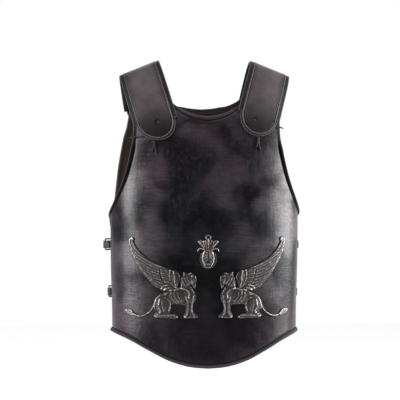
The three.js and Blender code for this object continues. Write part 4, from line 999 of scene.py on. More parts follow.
# Raised lines: rise and width in millimetres, then their points
GRIFFIN_LINES = {
    "wing ribs": [
        (1.0, 1.5, [(0.075, 0.959), (0.087, 0.898), (0.135, 0.822), (0.221, 0.758), (0.323, 0.7),
                    (0.434, 0.651), (0.537, 0.624), (0.622, 0.605)]),
        (0.8, 1.2, [(0.079, 0.913), (0.118, 0.822), (0.181, 0.745), (0.28, 0.685), (0.392, 0.636),
                    (0.465, 0.611)]),
        (0.8, 1.2, [(0.096, 0.837), (0.152, 0.745), (0.238, 0.677), (0.332, 0.621),
                    (0.469, 0.575)]),
        (0.8, 1.2, [(0.144, 0.738), (0.221, 0.662), (0.315, 0.601), (0.409, 0.56), (0.479, 0.538)]),
        (0.8, 1.2, [(0.181, 0.677), (0.263, 0.596), (0.357, 0.548), (0.486, 0.505)]),
        (0.8, 1.2, [(0.229, 0.611), (0.315, 0.537), (0.409, 0.494), (0.503, 0.471)]),
        (0.8, 1.2, [(0.289, 0.548), (0.374, 0.487), (0.469, 0.441), (0.523, 0.433)]),
        (0.8, 1.2, [(0.369, 0.474), (0.451, 0.418), (0.528, 0.392)]),
    ],
    "covert feathers": [
        (0.7, 1.0, [(0.494, 0.593), (0.554, 0.59), (0.622, 0.563)]),
        (0.7, 1.0, [(0.503, 0.548), (0.563, 0.544), (0.626, 0.514)]),
        (0.7, 1.0, [(0.52, 0.499), (0.575, 0.496), (0.636, 0.464)]),
        (0.7, 1.0, [(0.551, 0.449), (0.602, 0.444), (0.657, 0.414)]),
    ],
    "wing root": [
        (1.1, 1.3, [(0.626, 0.596), (0.616, 0.532), (0.629, 0.464), (0.665, 0.403),
                    (0.716, 0.368)]),
        (0.9, 1.2, [(0.67, 0.575), (0.684, 0.517), (0.687, 0.449), (0.701, 0.395)]),
        (1.1, 1.3, [(0.657, 0.605), (0.716, 0.584), (0.749, 0.532), (0.754, 0.471), (0.739, 0.403),
                    (0.722, 0.368)]),
        (1.1, 1.3, [(0.506, 0.365), (0.534, 0.395), (0.588, 0.407)]),
        (1.1, 1.3, [(0.527, 0.324), (0.561, 0.362), (0.614, 0.375)]),
        (1.1, 1.3, [(0.551, 0.286), (0.588, 0.327), (0.648, 0.35)]),
    ],
    "back and ribs": [
        (1.2, 1.4, [(0.684, 0.347), (0.776, 0.368), (0.845, 0.35), (0.882, 0.304), (0.876, 0.255)]),
        (0.6, 1.2, [(0.64, 0.312), (0.648, 0.258), (0.691, 0.213)]),
        (0.6, 1.2, [(0.682, 0.319), (0.691, 0.258), (0.734, 0.205)]),
        (0.6, 1.2, [(0.725, 0.319), (0.742, 0.258), (0.78, 0.213)]),
    ],
    "haunch and hind foot": [
        (1.0, 1.4, [(0.571, 0.307), (0.494, 0.289), (0.438, 0.243), (0.414, 0.174), (0.41, 0.106)]),
        (0.9, 1.4, [(0.486, 0.228), (0.469, 0.152), (0.494, 0.083), (0.451, 0.037)]),
        (0.8, 1.3, [(0.554, 0.255), (0.614, 0.22), (0.629, 0.152), (0.605, 0.091)]),
        (0.9, 1.6, [(0.426, 0.024), (0.503, 0.033), (0.588, 0.039), (0.674, 0.036),
                    (0.725, 0.015)]),
    ],
    "forelegs and chest": [
        (1.0, 1.7, [(0.841, 0.258), (0.862, 0.167), (0.858, 0.076), (0.828, 0.022)]),
        (1.0, 1.7, [(0.937, 0.273), (0.923, 0.167), (0.92, 0.076), (0.954, 0.024)]),
        (0.9, 1.3, [(0.951, 0.357), (0.968, 0.273), (0.94, 0.213)]),
    ],
    "mane and head": [
        (0.6, 0.9, [(0.78, 0.517), (0.793, 0.456), (0.831, 0.398)]),
        (0.6, 0.9, [(0.807, 0.532), (0.828, 0.471), (0.865, 0.41)]),
        (0.6, 0.9, [(0.836, 0.538), (0.855, 0.493), (0.886, 0.441)]),
        (0.8, 1.0, [(0.876, 0.544), (0.93, 0.551), (0.968, 0.525)]),
        (0.8, 1.1, [(0.964, 0.517), (0.976, 0.441), (0.958, 0.38)]),
        (0.6, 0.9, [(0.913, 0.487), (0.925, 0.441), (0.937, 0.395)]),
        (0.8, 1.0, [(0.804, 0.56), (0.828, 0.532), (0.858, 0.514)]),
        (0.9, 0.9, [(0.909, 0.514), (0.917, 0.514)]),
    ],
}
GRIFFIN_CUTS = [
    (0.8, 1.0, [(0.889, 0.228), (0.893, 0.136), (0.889, 0.053)]),
    (0.7, 1.0, [(0.479, 0.593), (0.496, 0.517), (0.534, 0.441), (0.554, 0.41)]),
    (0.8, 1.1, [(0.506, 0.228), (0.503, 0.152), (0.523, 0.083)]),
    (0.8, 1.0, [(0.759, 0.368), (0.766, 0.41), (0.759, 0.471)]),
    (0.7, 0.8, [(0.862, 0.009), (0.865, 0.045)]),
    (0.6, 0.7, [(0.93, -0.001), (0.93, 0.022)]),
    (0.6, 0.7, [(0.964, 0.002), (0.961, 0.024)]),
    (0.7, 0.9, [(0.417, 0.136), (0.469, 0.06), (0.537, 0.048)]),
    (0.7, 0.9, [(0.657, 0.027), (0.677, -0.001)]),
    (0.7, 0.9, [(0.691, 0.027), (0.711, -0.001)]),
]
BEADED_BAND = [(0.458, 0.642), (0.469, 0.578), (0.486, 0.509), (0.511, 0.456), (0.551, 0.418)]
BEAD_RADIUS = 0.95
BEAD_SPACING = 2.3
VANE_RISE = 0.4
VANE_WIDTH = 0.6


def griffin_spots(shares):
    """The right-hand griffin, seen from the front, in millimetres across and up."""
    x, z = np.asarray(shares, float).T
    across = GRIFFIN_WIDTH * (x - 1) - GRIFFIN_INSET
    return np.stack([across, GRIFFIN_HEIGHT * z - GRIFFIN_BASE_DROP], -1)


def ribbon(middle, start_half, end_half):
    """The outline of a band along a middle line."""
    run = unit(np.gradient(middle, axis=0))
    half = np.linspace(start_half, end_half, len(middle))[:, None]
    side = np.stack([-run[:, 1], run[:, 0]], -1) * half
    return np.concatenate([middle + side, (middle - side)[::-1]])


def inside(spots, ring):
    hits = np.zeros(len(spots), bool)
    for a, b in zip(ring, np.roll(ring, -1, axis=0)):
        crosses = (a[1] > spots[:, 1]) != (b[1] > spots[:, 1])
        level = spots[:, 1] - a[1]
        hits ^= crosses & (spots[:, 0] < a[0] + level * (b[0] - a[0]) / ((b[1] - a[1]) or 1e-9))
    return hits


def distance_from(spots, starts, ends):
    """How far each spot is from the nearest of some short straight runs."""
    best = np.full(len(spots), np.inf)
    for a, b in zip(starts, ends):
        run = b - a
        share = np.clip((spots - a) @ run / max(run @ run, 1e-9), 0, 1)
        best = np.minimum(best, np.linalg.norm(spots - a - share[:, None] * run, axis=1))
    return best


def plan(spots, rings, holes, runs):
    """Triangles over the spots that lie in the rings and not in the holes."""
    found = delaunay_2d_cdt([Vector(s) for s in spots], runs, [], 0, 1e-4)
    spots = np.array([tuple(s) for s in found[0]])
    faces = np.array(found[2])
    middles = spots[faces].mean(axis=1)
    kept = np.any([inside(middles, ring) for ring in rings], axis=0)
    for hole in holes:
        kept &= ~inside(middles, hole)
    faces = faces[kept]
    used, faces = np.unique(faces, return_inverse=True)
    return spots[used], faces.reshape(-1, 3)


def rim_runs(faces):
    """The directed edges that only one triangle has."""
    runs = np.concatenate([faces[:, [0, 1]], faces[:, [1, 2]], faces[:, [2, 0]]])
    known = {tuple(r) for r in runs.tolist()}
    return np.array([r for r in runs.tolist() if (r[1], r[0]) not in known])


def raised(spots, lines):
    """The highest of some rounded lines over each spot."""
    best = np.zeros(len(spots))
    for rise, width, points in lines:
        away = distance_from(spots, points[:-1], points[1:])
        best = np.maximum(best, rise * np.exp(-((away / width) ** 2)))
    return best


def on_breastplate(spots, rise):
    """Points of a front view, laid on the breastplate and raised off it."""
    turns = turn_at(spots[:, 0], -spots[:, 1])
    out = body_normal(turns, -spots[:, 1])
    return body_point(turns, -spots[:, 1]) + out * np.reshape(rise, (-1, 1))


def casting(name, rings, holes, swells, lines, cuts, material):
    """A closed low relief, with the height of each point over its surroundings as an attribute, and
    the foot of its wall set darkest as a painted shadow round the outline.
    """
    outline, runs = [], []
    for ring in rings + holes:
        first = len(outline)
        outline += ring.tolist()
        runs += [(first + k, first + (k + 1) % len(ring)) for k in range(len(ring))]
    outline = np.array(outline)
    low, high = outline.min(axis=0), outline.max(axis=0)
    steps = [np.arange(low[i] + CAST_STEP / 2, high[i], CAST_STEP) for i in (0, 1)]
    field = np.stack(np.meshgrid(*steps), -1).reshape(-1, 2)
    field = field[np.any([inside(field, ring) for ring in rings], axis=0)]
    clear = distance_from(field, outline[[r[0] for r in runs]], outline[[r[1] for r in runs]])
    field = field[clear > 0.45 * CAST_STEP]
    spots, faces = plan(np.concatenate([outline, field]), rings, holes, runs)

    rim = rim_runs(faces)
    from_rim = distance_from(spots, spots[rim[:, 0]], spots[rim[:, 1]])
    roll = np.sqrt(1 - (1 - np.clip(from_rim / CAST_ROUND, 0, 1)) ** 2)
    mass = np.zeros(len(spots))
    for middle, wide, tall, lean, rise in swells:
        across, up = (spots - middle).T
        p = (across * math.cos(lean) + up * math.sin(lean)) / wide
        q = (up * math.cos(lean) - across * math.sin(lean)) / tall
        mass = np.maximum(mass, rise * np.clip(1 - p * p - q * q, 0, 1) ** 0.7)
    height = CAST_EDGE + roll * (CAST_RISE + mass + raised(spots, lines) - raised(spots, cuts))

    # What stands over its surroundings is rubbed, what lies under them stays black
    pairs = np.concatenate([faces[:, [0, 1]], faces[:, [1, 2]], faces[:, [2, 0]]])
    around = height
    for _ in range(14):
        total = np.bincount(pairs[:, 0], around[pairs[:, 1]], len(spots)) + around
        around = total / (np.bincount(pairs[:, 0], minlength=len(spots)) + 1)
    relief = height - around

    ring_spots = np.unique(rim)
    ring_runs = [tuple(run) for run in np.searchsorted(ring_spots, rim).tolist()]
    base_spots, base_faces = plan(spots[ring_spots], rings, holes, ring_runs)
    count = len(spots)
    nearest = [int(np.argmin(np.linalg.norm(spots[ring_spots] - s, axis=1))) for s in base_spots]
    foot = {int(s): count + k for k, s in enumerate(ring_spots)}
    walls = [(foot[a], foot[b], b, a) for a, b in rim.tolist()]
    under = [tuple(count + nearest[v] for v in face[::-1]) for face in base_faces.tolist()]
    points = np.concatenate([
        on_breastplate(spots, height),
        on_breastplate(spots[ring_spots], -CAST_SINK),
    ])
    piece = new_piece(name, points, faces.tolist() + walls + under, material)
    # The foot of the wall gets the lowest relief, so the outline is ringed with painted shadow
    store(piece, "relief", np.concatenate([relief, np.full(len(ring_spots), -1.0)]))
    return piece


def mirrored(piece, name):
    """A mirror image of the piece on the other side."""
    mesh = piece.data.copy()
    mesh.transform(Matrix.Scale(-1, 4, (1, 0, 0)))
    mesh.flip_normals()
    return put(name, mesh)


# Antique-finished pewter: a soft grey cast skin, chased with a small punch, blackened all over and
# rubbed back with wire wool, so that edges and feather lines gleam and hollows stay nearly black
PEWTER_HOLLOW = "#110f11"
PEWTER_SKIN = "#5e5959"
PEWTER_RUBBED = "#ccc6c5"
pewter, tree = skin("antiqued_cast_pewter")
relief = add(tree, "ShaderNodeAttribute", {"attribute_name": "relief"}).outputs["Fac"]
place = add(tree, "ShaderNodeTexCoord").outputs["Object"]
# Punch marks about 2.5 mm apart, which stand for 0.4 mm of relief either way, and pits of 0.7 mm
chasing = add(tree, "ShaderNodeTexNoise", {
    "Scale": 400, "Detail": 3, "Roughness": 0.7, "Vector": place,
})
marks = add(tree, "ShaderNodeMapRange", {
    "From Min": 0.3, "From Max": 0.7, "To Min": -0.4, "To Max": 0.4, "Value": chasing,
})
level = add(tree, "ShaderNodeMath", {"operation": "ADD", 0: relief, 1: marks})
dark = add(tree, "ShaderNodeMapRange", {
    "From Min": -0.6, "From Max": 0.18, "To Min": 1.0, "To Max": 0.0, "Value": level,
})
high = add(tree, "ShaderNodeMapRange", {"From Min": 0.2, "From Max": 0.8, "Value": level})
colour = add(tree, "ShaderNodeMix", {
    "data_type": "RGBA", 6: linear(PEWTER_SKIN), 7: linear(PEWTER_HOLLOW), 0: dark,
})
colour = add(tree, "ShaderNodeMix", {
    "data_type": "RGBA", 7: linear(PEWTER_RUBBED), 0: high, 6: colour,
})
dull = add(tree, "ShaderNodeMapRange", {"To Min": 0.34, "To Max": 0.75, "Value": dark})
pits = add(tree, "ShaderNodeTexNoise", {"Scale": 1400, "Detail": 3, "Vector": place})
rough = add(tree, "ShaderNodeBump", {"Strength": 0.25, "Distance": 0.0002, "Height": pits})
bump = add(tree, "ShaderNodeBump", {
    "Strength": 0.3, "Distance": 0.0008, "Height": chasing, "Normal": rough,
})
surface = add(tree, "ShaderNodeBsdfPrincipled", {
    "Metallic": 0.85, "Base Color": colour, "Roughness": dull, "Normal": bump,
})
add(tree, "ShaderNodeOutputMaterial", {"Surface": surface})


def line_through(shares, lay_out):
    return smooth_line(lay_out(shares), steps=5)


def vanes(group):
    """A fine line midway between each two neighbouring feather lines of a group."""
    shares = np.linspace(0.04, 0.94, 24)
    wires = [line_through(points, griffin_spots) for _, _, points in GRIFFIN_LINES[group]]
    lines = [along(wire, shares) for wire in wires]
    return [(one + other) / 2 for one, other in zip(lines, lines[1:])]


wing = smooth_line(griffin_spots(WING), closed=True, steps=8)
beast = smooth_line(griffin_spots(BEAST), closed=True, steps=8)
tuft = smooth_line(griffin_spots(TUFT), closed=True, steps=8)
tail = ribbon(line_through(TAIL, griffin_spots), 1.2 * TAIL_HALF, TAIL_HALF)
right_griffin = casting(
    "griffin_cast_right",
    [wing, beast, tuft, tail],
    [],
    [
        (griffin_spots([middle])[0], wide * GRIFFIN_WIDTH, tall * GRIFFIN_HEIGHT, lean, rise)
        for middle, wide, tall, lean, rise in GRIFFIN_SWELLS
    ],
    [
        *(
            (rise, width, line_through(points, griffin_spots))
            for group in GRIFFIN_LINES.values()
            for rise, width, points in group
        ),
        *((VANE_RISE, VANE_WIDTH, line) for line in vanes("wing ribs") + vanes("covert feathers")),
    ],
    [(r, w, line_through(p, griffin_spots)) for r, w, p in GRIFFIN_CUTS],
    pewter,
)


def shape_tree(name, sizes):
    """An empty Geometry Nodes tree. A mesh, a material and some sizes in millimetres go in."""
    tree = bpy.data.node_groups.new(name, "GeometryNodeTree")
    tree.interface.new_socket("Geometry", in_out="INPUT", socket_type="NodeSocketGeometry")
    tree.interface.new_socket("Material", in_out="INPUT", socket_type="NodeSocketMaterial")
    for size in sizes:
        tree.interface.new_socket(size, in_out="INPUT", socket_type="NodeSocketFloat")
    tree.interface.new_socket("Geometry", in_out="OUTPUT", socket_type="NodeSocketGeometry")
    return tree, add(tree, "NodeGroupInput").outputs


def finish_tree(tree, shape, material):
    solid = add(tree, "GeometryNodeRealizeInstances", {0: shape})
    dressed = add(tree, "GeometryNodeSetMaterial", {"Geometry": solid, "Material": material})
    add(tree, "NodeGroupOutput", {0: dressed})
    return tree


def made_by(tree, name, points, runs, material, sizes, facing=None):
    """A piece that a tree makes on a wire of points, all in millimetres."""
    mesh = bpy.data.meshes.new(name)
    mesh.from_pydata([tuple(p) for p in np.asarray(points) * MM], runs, [])
    if facing is not None:
        layer = mesh.attributes.new("facing", "FLOAT_VECTOR", "POINT")
        layer.data.foreach_set("vector", np.asarray(facing, np.float32).ravel())
    piece = put(name, mesh)
    modifier = piece.modifiers.new(tree.name, "NODES")
    modifier.node_group = tree
    inputs = (item for item in tree.interface.items_tree if item.in_out == "INPUT")
    sockets = {item.name: item.identifier for item in inputs}
    modifier[sockets["Material"]] = material
    for size, value in sizes.items():
        modifier[sockets[size]] = float(value) * MM
    bake_modifiers(piece)
    piece.data.polygons.foreach_set("use_smooth", [True] * len(piece.data.polygons))
    return piece


# Round beads at an even spacing along a wire
bead_tree, ins = shape_tree("row_of_beads", ["Bead Radius", "Spacing"])
wire = add(bead_tree, "GeometryNodeMeshToCurve", {"Mesh": ins["Geometry"]})
stops = add(bead_tree, "GeometryNodeResampleCurve", {
    "mode": "LENGTH", "Curve": wire, "Length": ins["Spacing"],
})
bead = add(bead_tree, "GeometryNodeMeshIcoSphere", {
    "Subdivisions": 3, "Radius": ins["Bead Radius"],
})
row = add(bead_tree, "GeometryNodeInstanceOnPoints", {"Points": stops, "Instance": bead})
finish_tree(bead_tree, row, ins["Material"])


def bead_row(name, spots, rise, radius, spacing):
    wire = on_breastplate(spots, rise)
    runs = [(k, k + 1) for k in range(len(wire) - 1)]
    return made_by(bead_tree, name, wire, runs, pewter, {"Bead Radius": radius, "Spacing": spacing})


right_beads = bead_row(
    "griffin_beads_right",
    line_through(BEADED_BAND, griffin_spots),
    CAST_EDGE + CAST_RISE,
    BEAD_RADIUS,
    BEAD_SPACING,
)
left_griffin = mirrored(right_griffin, "griffin_cast_left")
for piece, node in ((right_griffin, "griffin_right"), (left_griffin, "griffin_left")):
    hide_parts(node)
    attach(piece, "front")
for piece in (right_beads, mirrored(right_beads, "griffin_beads_left")):
    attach(piece, "front")


# Palmette: a pendant cast in the same pewter and held by one stud. Under a hanging loop it has a
# fan of leaves, two scrolls and a long bud with a grooved middle and a row of knobs at each side.

PALMETTE_WIDTH = 46
PALMETTE_HEIGHT = 70
PALMETTE_BASE_DROP = 429
CROWN = [
    (0.0, 0.87), (0.12, 0.85), (0.22, 0.83), (0.32, 0.85), (0.43, 0.84), (0.46, 0.79),
    (0.4, 0.72), (0.31, 0.66), (0.24, 0.61), (0.2, 0.54), (-0.2, 0.54), (-0.24, 0.61),
    (-0.31, 0.66), (-0.4, 0.72), (-0.46, 0.79), (-0.43, 0.84), (-0.32, 0.85), (-0.22, 0.83),
    (-0.12, 0.85),
]
SCROLL = [(0.16, 0.55), (0.28, 0.595), (0.39, 0.595), (0.455, 0.555), (0.465, 0.5)]
SCROLL_HALF = 1.6
# Rounded mass down the middle: height, half width, half height, rise in millimetres
PALMETTE_SWELLS = [(0.3, 0.3, 0.34, 1.4)]
# Middle, half width, half height
BUD = (0, 0.29, 0.375, 0.285)
LOOP = (0, 0.92, 0.15, 0.08)
LOOP_HOLE = (0, 0.93, 0.07, 0.037)
# Lines of the right half, which the left half repeats
PALMETTE_LINES = [
    (1.3, 1.3, [(0.0, 0.56), (0.0, 0.7), (0.0, 0.86)]),
    (1.1, 1.0, [(0.05, 0.56), (0.09, 0.69), (0.15, 0.83)]),
    (1.1, 1.0, [(0.1, 0.57), (0.18, 0.68), (0.24, 0.8)]),
    (1.3, 1.2, [(0.15, 0.57), (0.28, 0.7), (0.43, 0.81)]),
    (0.9, 0.8, [(0.28, 0.7), (0.32, 0.77), (0.33, 0.83)]),
    (1.0, 0.9, [(0.22, 0.6), (0.3, 0.67), (0.4, 0.74)]),
    (1.4, 1.3, SCROLL),
    (1.2, 1.1, [(0.0, 0.55), (0.1, 0.56), (0.19, 0.545)]),
    (1.4, 1.3, [(0.15, 0.52), (0.215, 0.42), (0.235, 0.3), (0.21, 0.19), (0.15, 0.11)]),
    (0.7, 0.9, [(0.17, 0.07), (0.08, 0.045), (0.0, 0.04)]),
    (0.9, 0.8, [(0.05, 0.52), (0.075, 0.42), (0.08, 0.33)]),
    (1.1, 0.9, [(0.08, 0.5), (0.18, 0.44)]),
    (1.1, 0.9, [(0.1, 0.42), (0.19, 0.36)]),
    (1.1, 0.9, [(0.12, 0.34), (0.2, 0.28)]),
    (1.0, 0.9, [(0.0, 0.15), (0.08, 0.14), (0.14, 0.18), (0.12, 0.25)]),
]
PALMETTE_CUTS = [
    (1.5, 1.0, [(0.0, 0.52), (0.0, 0.42), (0.0, 0.32)]),
    (1.3, 2.2, [(0.0, 0.24), (0.0, 0.2)]),
    (0.9, 0.9, [(0.315, 0.46), (0.335, 0.3), (0.28, 0.15), (0.16, 0.05)]),
    (0.9, 0.9, [(-0.315, 0.46), (-0.335, 0.3), (-0.28, 0.15), (-0.16, 0.05)]),
]
# The knobs down both sides of the bud
KNOBS = [(0.31, 0.45), (0.343, 0.36), (0.343, 0.24), (0.29, 0.14), (0.19, 0.055)]
KNOB_RADIUS = 1.5
KNOB_SPACING = 3.6


def palmette_spots(shares):
    x, z = np.asarray(shares, float).T
    return np.stack([PALMETTE_WIDTH * x, PALMETTE_HEIGHT * z - PALMETTE_BASE_DROP], -1)


def oval(x, z, wide, tall):
    turns = np.linspace(0, 2 * math.pi, 72, endpoint=False)
    return palmette_spots(np.stack([x + wide * np.cos(turns), z + tall * np.sin(turns)], -1))


def both_ways(shares):
    return [shares, [(-x, z) for x, z in shares]]


palmette = casting(
    "palmette_cast",
    [
        smooth_line(palmette_spots(CROWN), closed=True, steps=8),
        oval(*BUD),
        oval(*LOOP),
        *(
            ribbon(line_through(half, palmette_spots), SCROLL_HALF, SCROLL_HALF)
            for half in both_ways(SCROLL)
        ),
    ],
    [oval(*LOOP_HOLE)],
    [(palmette_spots([(0, z)])[0], wide * PALMETTE_WIDTH, tall * PALMETTE_HEIGHT, 0, rise)
     for z, wide, tall, rise in PALMETTE_SWELLS],
    [
        (r, w, line_through(half, palmette_spots))
        for r, w, points in PALMETTE_LINES
        for half in both_ways(points)
    ],
    [(r, w, line_through(points, palmette_spots)) for r, w, points in PALMETTE_CUTS],
    pewter,
)
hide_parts("palmette")
for side, half in zip(("left", "right"), both_ways(KNOBS)):
    knob_line = line_through(half, palmette_spots)
    knobs = bead_row(
        f"palmette_knobs_{side}", knob_line, CAST_EDGE + CAST_RISE, KNOB_RADIUS, KNOB_SPACING
    )
    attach(knobs, "front")
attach(palmette, "front")


# Side straps: four buckled straps that close the sides. Each has a billet with punched holes,
# riveted to the breastplate, and a chape with a keeper loop, folded round the buckle's heel bar and
# riveted to the backplate. All are of waxed strap leather with creased and blackened edges.

SIDE_STRAP_DROPS = {"upper": 383, "lower": 484}
STRAP_SLACK = {"upper_right": 12, "lower_right": 5, "upper_left": 4, "lower_left": 2}
SEAT_GAP = 0.3
SOFT_GAP = 0.5
BILLET_WIDTH = 15
BILLET_THICKNESS = 2.6
BILLET_START = 2
BILLET_TAIL = 52
BILLET_HOLES = 4
BILLET_HOLE_SPACING = 12
BILLET_HOLE_RADIUS = 1.7
WIRE_RADIUS = 1.5
FRAME_LENGTH = 26
CHAPE_WIDTH = 19
CHAPE_LEATHER = 2.2
CHAPE_LENGTH = 42
CHAPE_SLOT_WIDTH = 5
# The two layers of the fold lie this far apart, so that their faces don't touch
CHAPE_LAYER_GAP = 0.08
# The fold's loop starts at this share of a half turn and closes this many radii behind the bar
FOLD_OPENING = 0.62
FOLD_NECK = 2.6
SLOT_REACH = 1.8
KEEPER_LEATHER = 1.3
KEEPER_LENGTH = 9
KEEPER_SETBACK = 14
KEEPER_CORNER = 1.6
KEEPER_CROWN = 0.15
KEEPER_SINK = 0.4
KEEPER_ROUND_OUT = 0.3
PRONG_SLOT_LENGTH = 6.6
BAND_ROUND_OUT = 0.45
CREASE_INSET = 1.8
CREASE_DEPTH = 0.3
CREASE_WIDTH = 0.45
CREASE_STAIN = 0.6
PRONG_WIDTH = 2.8
STRAIGHT_DIP = 3
BILLET_STAND = SOFT_GAP + BILLET_THICKNESS / 2
HEEL_DEPTH = BILLET_THICKNESS / 2 + 2 * SEAT_GAP + WIRE_RADIUS + CHAPE_LEATHER
CHAPE_GAP = 0.9
TAIL_STAND = CHAPE_GAP + CHAPE_LEATHER + HEEL_DEPTH
HEEL_STAND = HEEL_DEPTH + WIRE_RADIUS + SEAT_GAP + CHAPE_LEATHER + STRAIGHT_DIP
BILLET_RIVET_SETBACK = 6
BILLET_LIFT_OFF = 12
STRAIGHT_START = 26
STRAIGHT_END = 68
STRAIGHT_SHARES = [0.1, 0.5, 0.9]
HEEL_SETBACK = 11
SLACK_CARRY = 0.45
TAIL_STOPS = [86, 99, 112]
FRONT_BAR_RISE = BILLET_THICKNESS / 2 + SEAT_GAP + WIRE_RADIUS
SIDE_STRAP_MIDDLE = "#35292a"
SIDE_STRAP_SHADOW = "#221a1b"
SIDE_STRAP_CREASE = "#100e0e"
SIDE_STRAP_RUBBED = "#4b4341"
SIDE_STRAP_ROUGHNESS = 0.5
side_leather = strap_skin(
    "waxed_strap_leather", SIDE_STRAP_MIDDLE, SIDE_STRAP_SHADOW, SIDE_STRAP_CREASE,
    SIDE_STRAP_RUBBED, SIDE_STRAP_ROUGHNESS,
)


class SideStrap:
    """The path of one closed strap: u runs along it, w out from it and dz across it."""

    def __init__(self, level, side):
        self.mirror = np.array([SIDES[side], 1, 1])
        self.drop = SIDE_STRAP_DROPS[level]
        slack = STRAP_SLACK[f"{level}_{side}"]
        start = self.stood(STRAIGHT_START, BILLET_STAND + STRAIGHT_DIP + slack)
        end = self.stood(STRAIGHT_END, HEEL_STAND + SLACK_CARRY * slack)
        stops = [self.stood(BILLET_START, BILLET_STAND)]
        stops += [self.stood(BILLET_RIVET_SETBACK + BILLET_START, BILLET_STAND)]
        stops += [self.stood(BILLET_LIFT_OFF, BILLET_STAND), start]
        stops += [start + (end - start) * share for share in STRAIGHT_SHARES] + [end]
        stops += [self.stood(length, TAIL_STAND) for length in TAIL_STOPS]
        self.line = smooth_line(stops, steps=60)
        self.total = lengths_of(self.line)[-1]
        steps = along(self.line, np.linspace(0, 1, 401))
        self.heel = np.argmin(np.linalg.norm(steps - end, axis=1)) / 400 * self.total - HEEL_SETBACK

    def stood(self, length, stand):
        turn = turn_behind_side(length, self.drop)
        out = body_normal(turn, self.drop) * [1, 1, 0]
        return body_point(turn, self.drop) + unit(out) * stand

    def axes(self, u):
        share = np.clip(np.asarray(u, float) / self.total, 0, 1)
        step = 0.002
        run = unit(along(self.line, share + step) - along(self.line, share - step))
        half = BILLET_WIDTH / 2
        lengths = BILLET_RIVET_SETBACK + (TAIL_STOPS[1] - BILLET_RIVET_SETBACK) * share
        turns = turn_behind_side(lengths, self.drop)
        lean = body_point(turns, self.drop - half) - body_point(turns, self.drop + half)
        lean = unit(lean - run * (lean * run).sum(-1, keepdims=True))
        return run, np.cross(run, lean), lean

    def place(self, u, w, dz):
        u, w, dz = np.broadcast_arrays(np.asarray(u, float), w, dz)
        run, out, rise = self.axes(u)
        over = u - np.clip(u, 0, self.total)
        point = along(self.line, np.ravel(u) / self.total).reshape(*u.shape, 3)
        point = point + run * over[..., None] + out * w[..., None]
        return (point + rise * dz[..., None]) * self.mirror

    def frame_at(self, u):
        """Along, out and across at u, on the strap's own side of the body."""
        run, out, _ = self.axes(u)
        run, out = run * self.mirror, out * self.mirror
        return run, out, np.cross(run, out)


def strap_band(name, strap, path, half_widths, thickness):
    """A leather band whose middle layer follows a path of (u, w), with creased and dyed edges."""
    path = np.asarray(path, float)
    across = across_steps(0.7, 4, 6)
    dz = across[None] * np.asarray(half_widths)[:, None]
    u = np.broadcast_to(path[:, :1], dz.shape)
    w = np.broadcast_to(path[:, 1:], dz.shape)
    points = strap.place(u, w, dz)
    tangent = unit(np.gradient(path, axis=0))
    up = np.stack([-tangent[:, 1], tangent[:, 0]], -1)[:, None]
    normals = unit(strap.place(u + up[..., 0] * 0.1, w + up[..., 1] * 0.1, dz) - points)
    edge = np.asarray(half_widths)[:, None] * (1 - np.abs(across))[None]
    crease = -CREASE_DEPTH * np.exp(-(((edge - CREASE_INSET) / CREASE_WIDTH) ** 2))
    band = leather_sheet(
        name, points, normals, thickness / 2 + crease, thickness - CREASE_DEPTH, BAND_ROUND_OUT,
        side_leather,
    )
    darkening = np.ones(len(band.data.vertices))
    lightened = np.zeros(len(darkening))
    count = edge.size
    darkening[count : 2 * count] = 0.9 * np.exp(-(((edge - CREASE_INSET) / CREASE_STAIN) ** 2)).ravel()
    lightened[count : 2 * count] = (1 - shade(edge, 0.2, 0.9)).ravel() * 0.6
    store(band, "darker_tone", darkening)
    store(band, "lightened", lightened)
    return band


def cut_slot(piece, centre, axes, size, meets_itself=False):
    """Cuts a block along a strap's own axes out of a closed piece."""
    shape = bmesh.new()
    bmesh.ops.create_cube(shape, size=1)
    rows = [[*(axes[k][row] * size[k] for k in range(3)), centre[row]] for row in range(3)]
    block = Matrix([*rows, [0, 0, 0, 1]])
    bmesh.ops.transform(shape, matrix=Matrix.Scale(MM, 4) @ block, verts=shape.verts)
    bmesh.ops.recalc_face_normals(shape, faces=shape.faces)
    subtract(piece, shape, meets_itself)


def billet_band(strap, name):
    end = strap.heel + BILLET_TAIL
    half = BILLET_WIDTH / 2
    round_end = end - half + half * np.sin(np.linspace(0, 1.55, 16))
    u = np.concatenate([np.linspace(0, end - half, 60)[:-1], round_end])
    into = np.clip((u - end + half) / half, 0, 1)
    half_widths = half * np.sqrt(1 - into**2)
    band = strap_band(name, strap, np.stack([u, 0 * u], -1), half_widths, BILLET_THICKNESS)
    for k in range(BILLET_HOLES):
        stop = strap.heel + (k + 1) * BILLET_HOLE_SPACING
        out = strap.frame_at(stop)[1]
        centre = strap.place(stop, 0, 0)
        cut_hole(band, centre, out, BILLET_HOLE_RADIUS, 3 * BILLET_THICKNESS, sides=14)
    middle = strap.heel - WIRE_RADIUS / 2 - PRONG_SLOT_LENGTH / 2
    size = (PRONG_SLOT_LENGTH, 3 * BILLET_THICKNESS, PRONG_WIDTH + 2 * SOFT_GAP)
    cut_slot(band, strap.place(middle, 0, 0), strap.frame_at(middle), size)
    return band


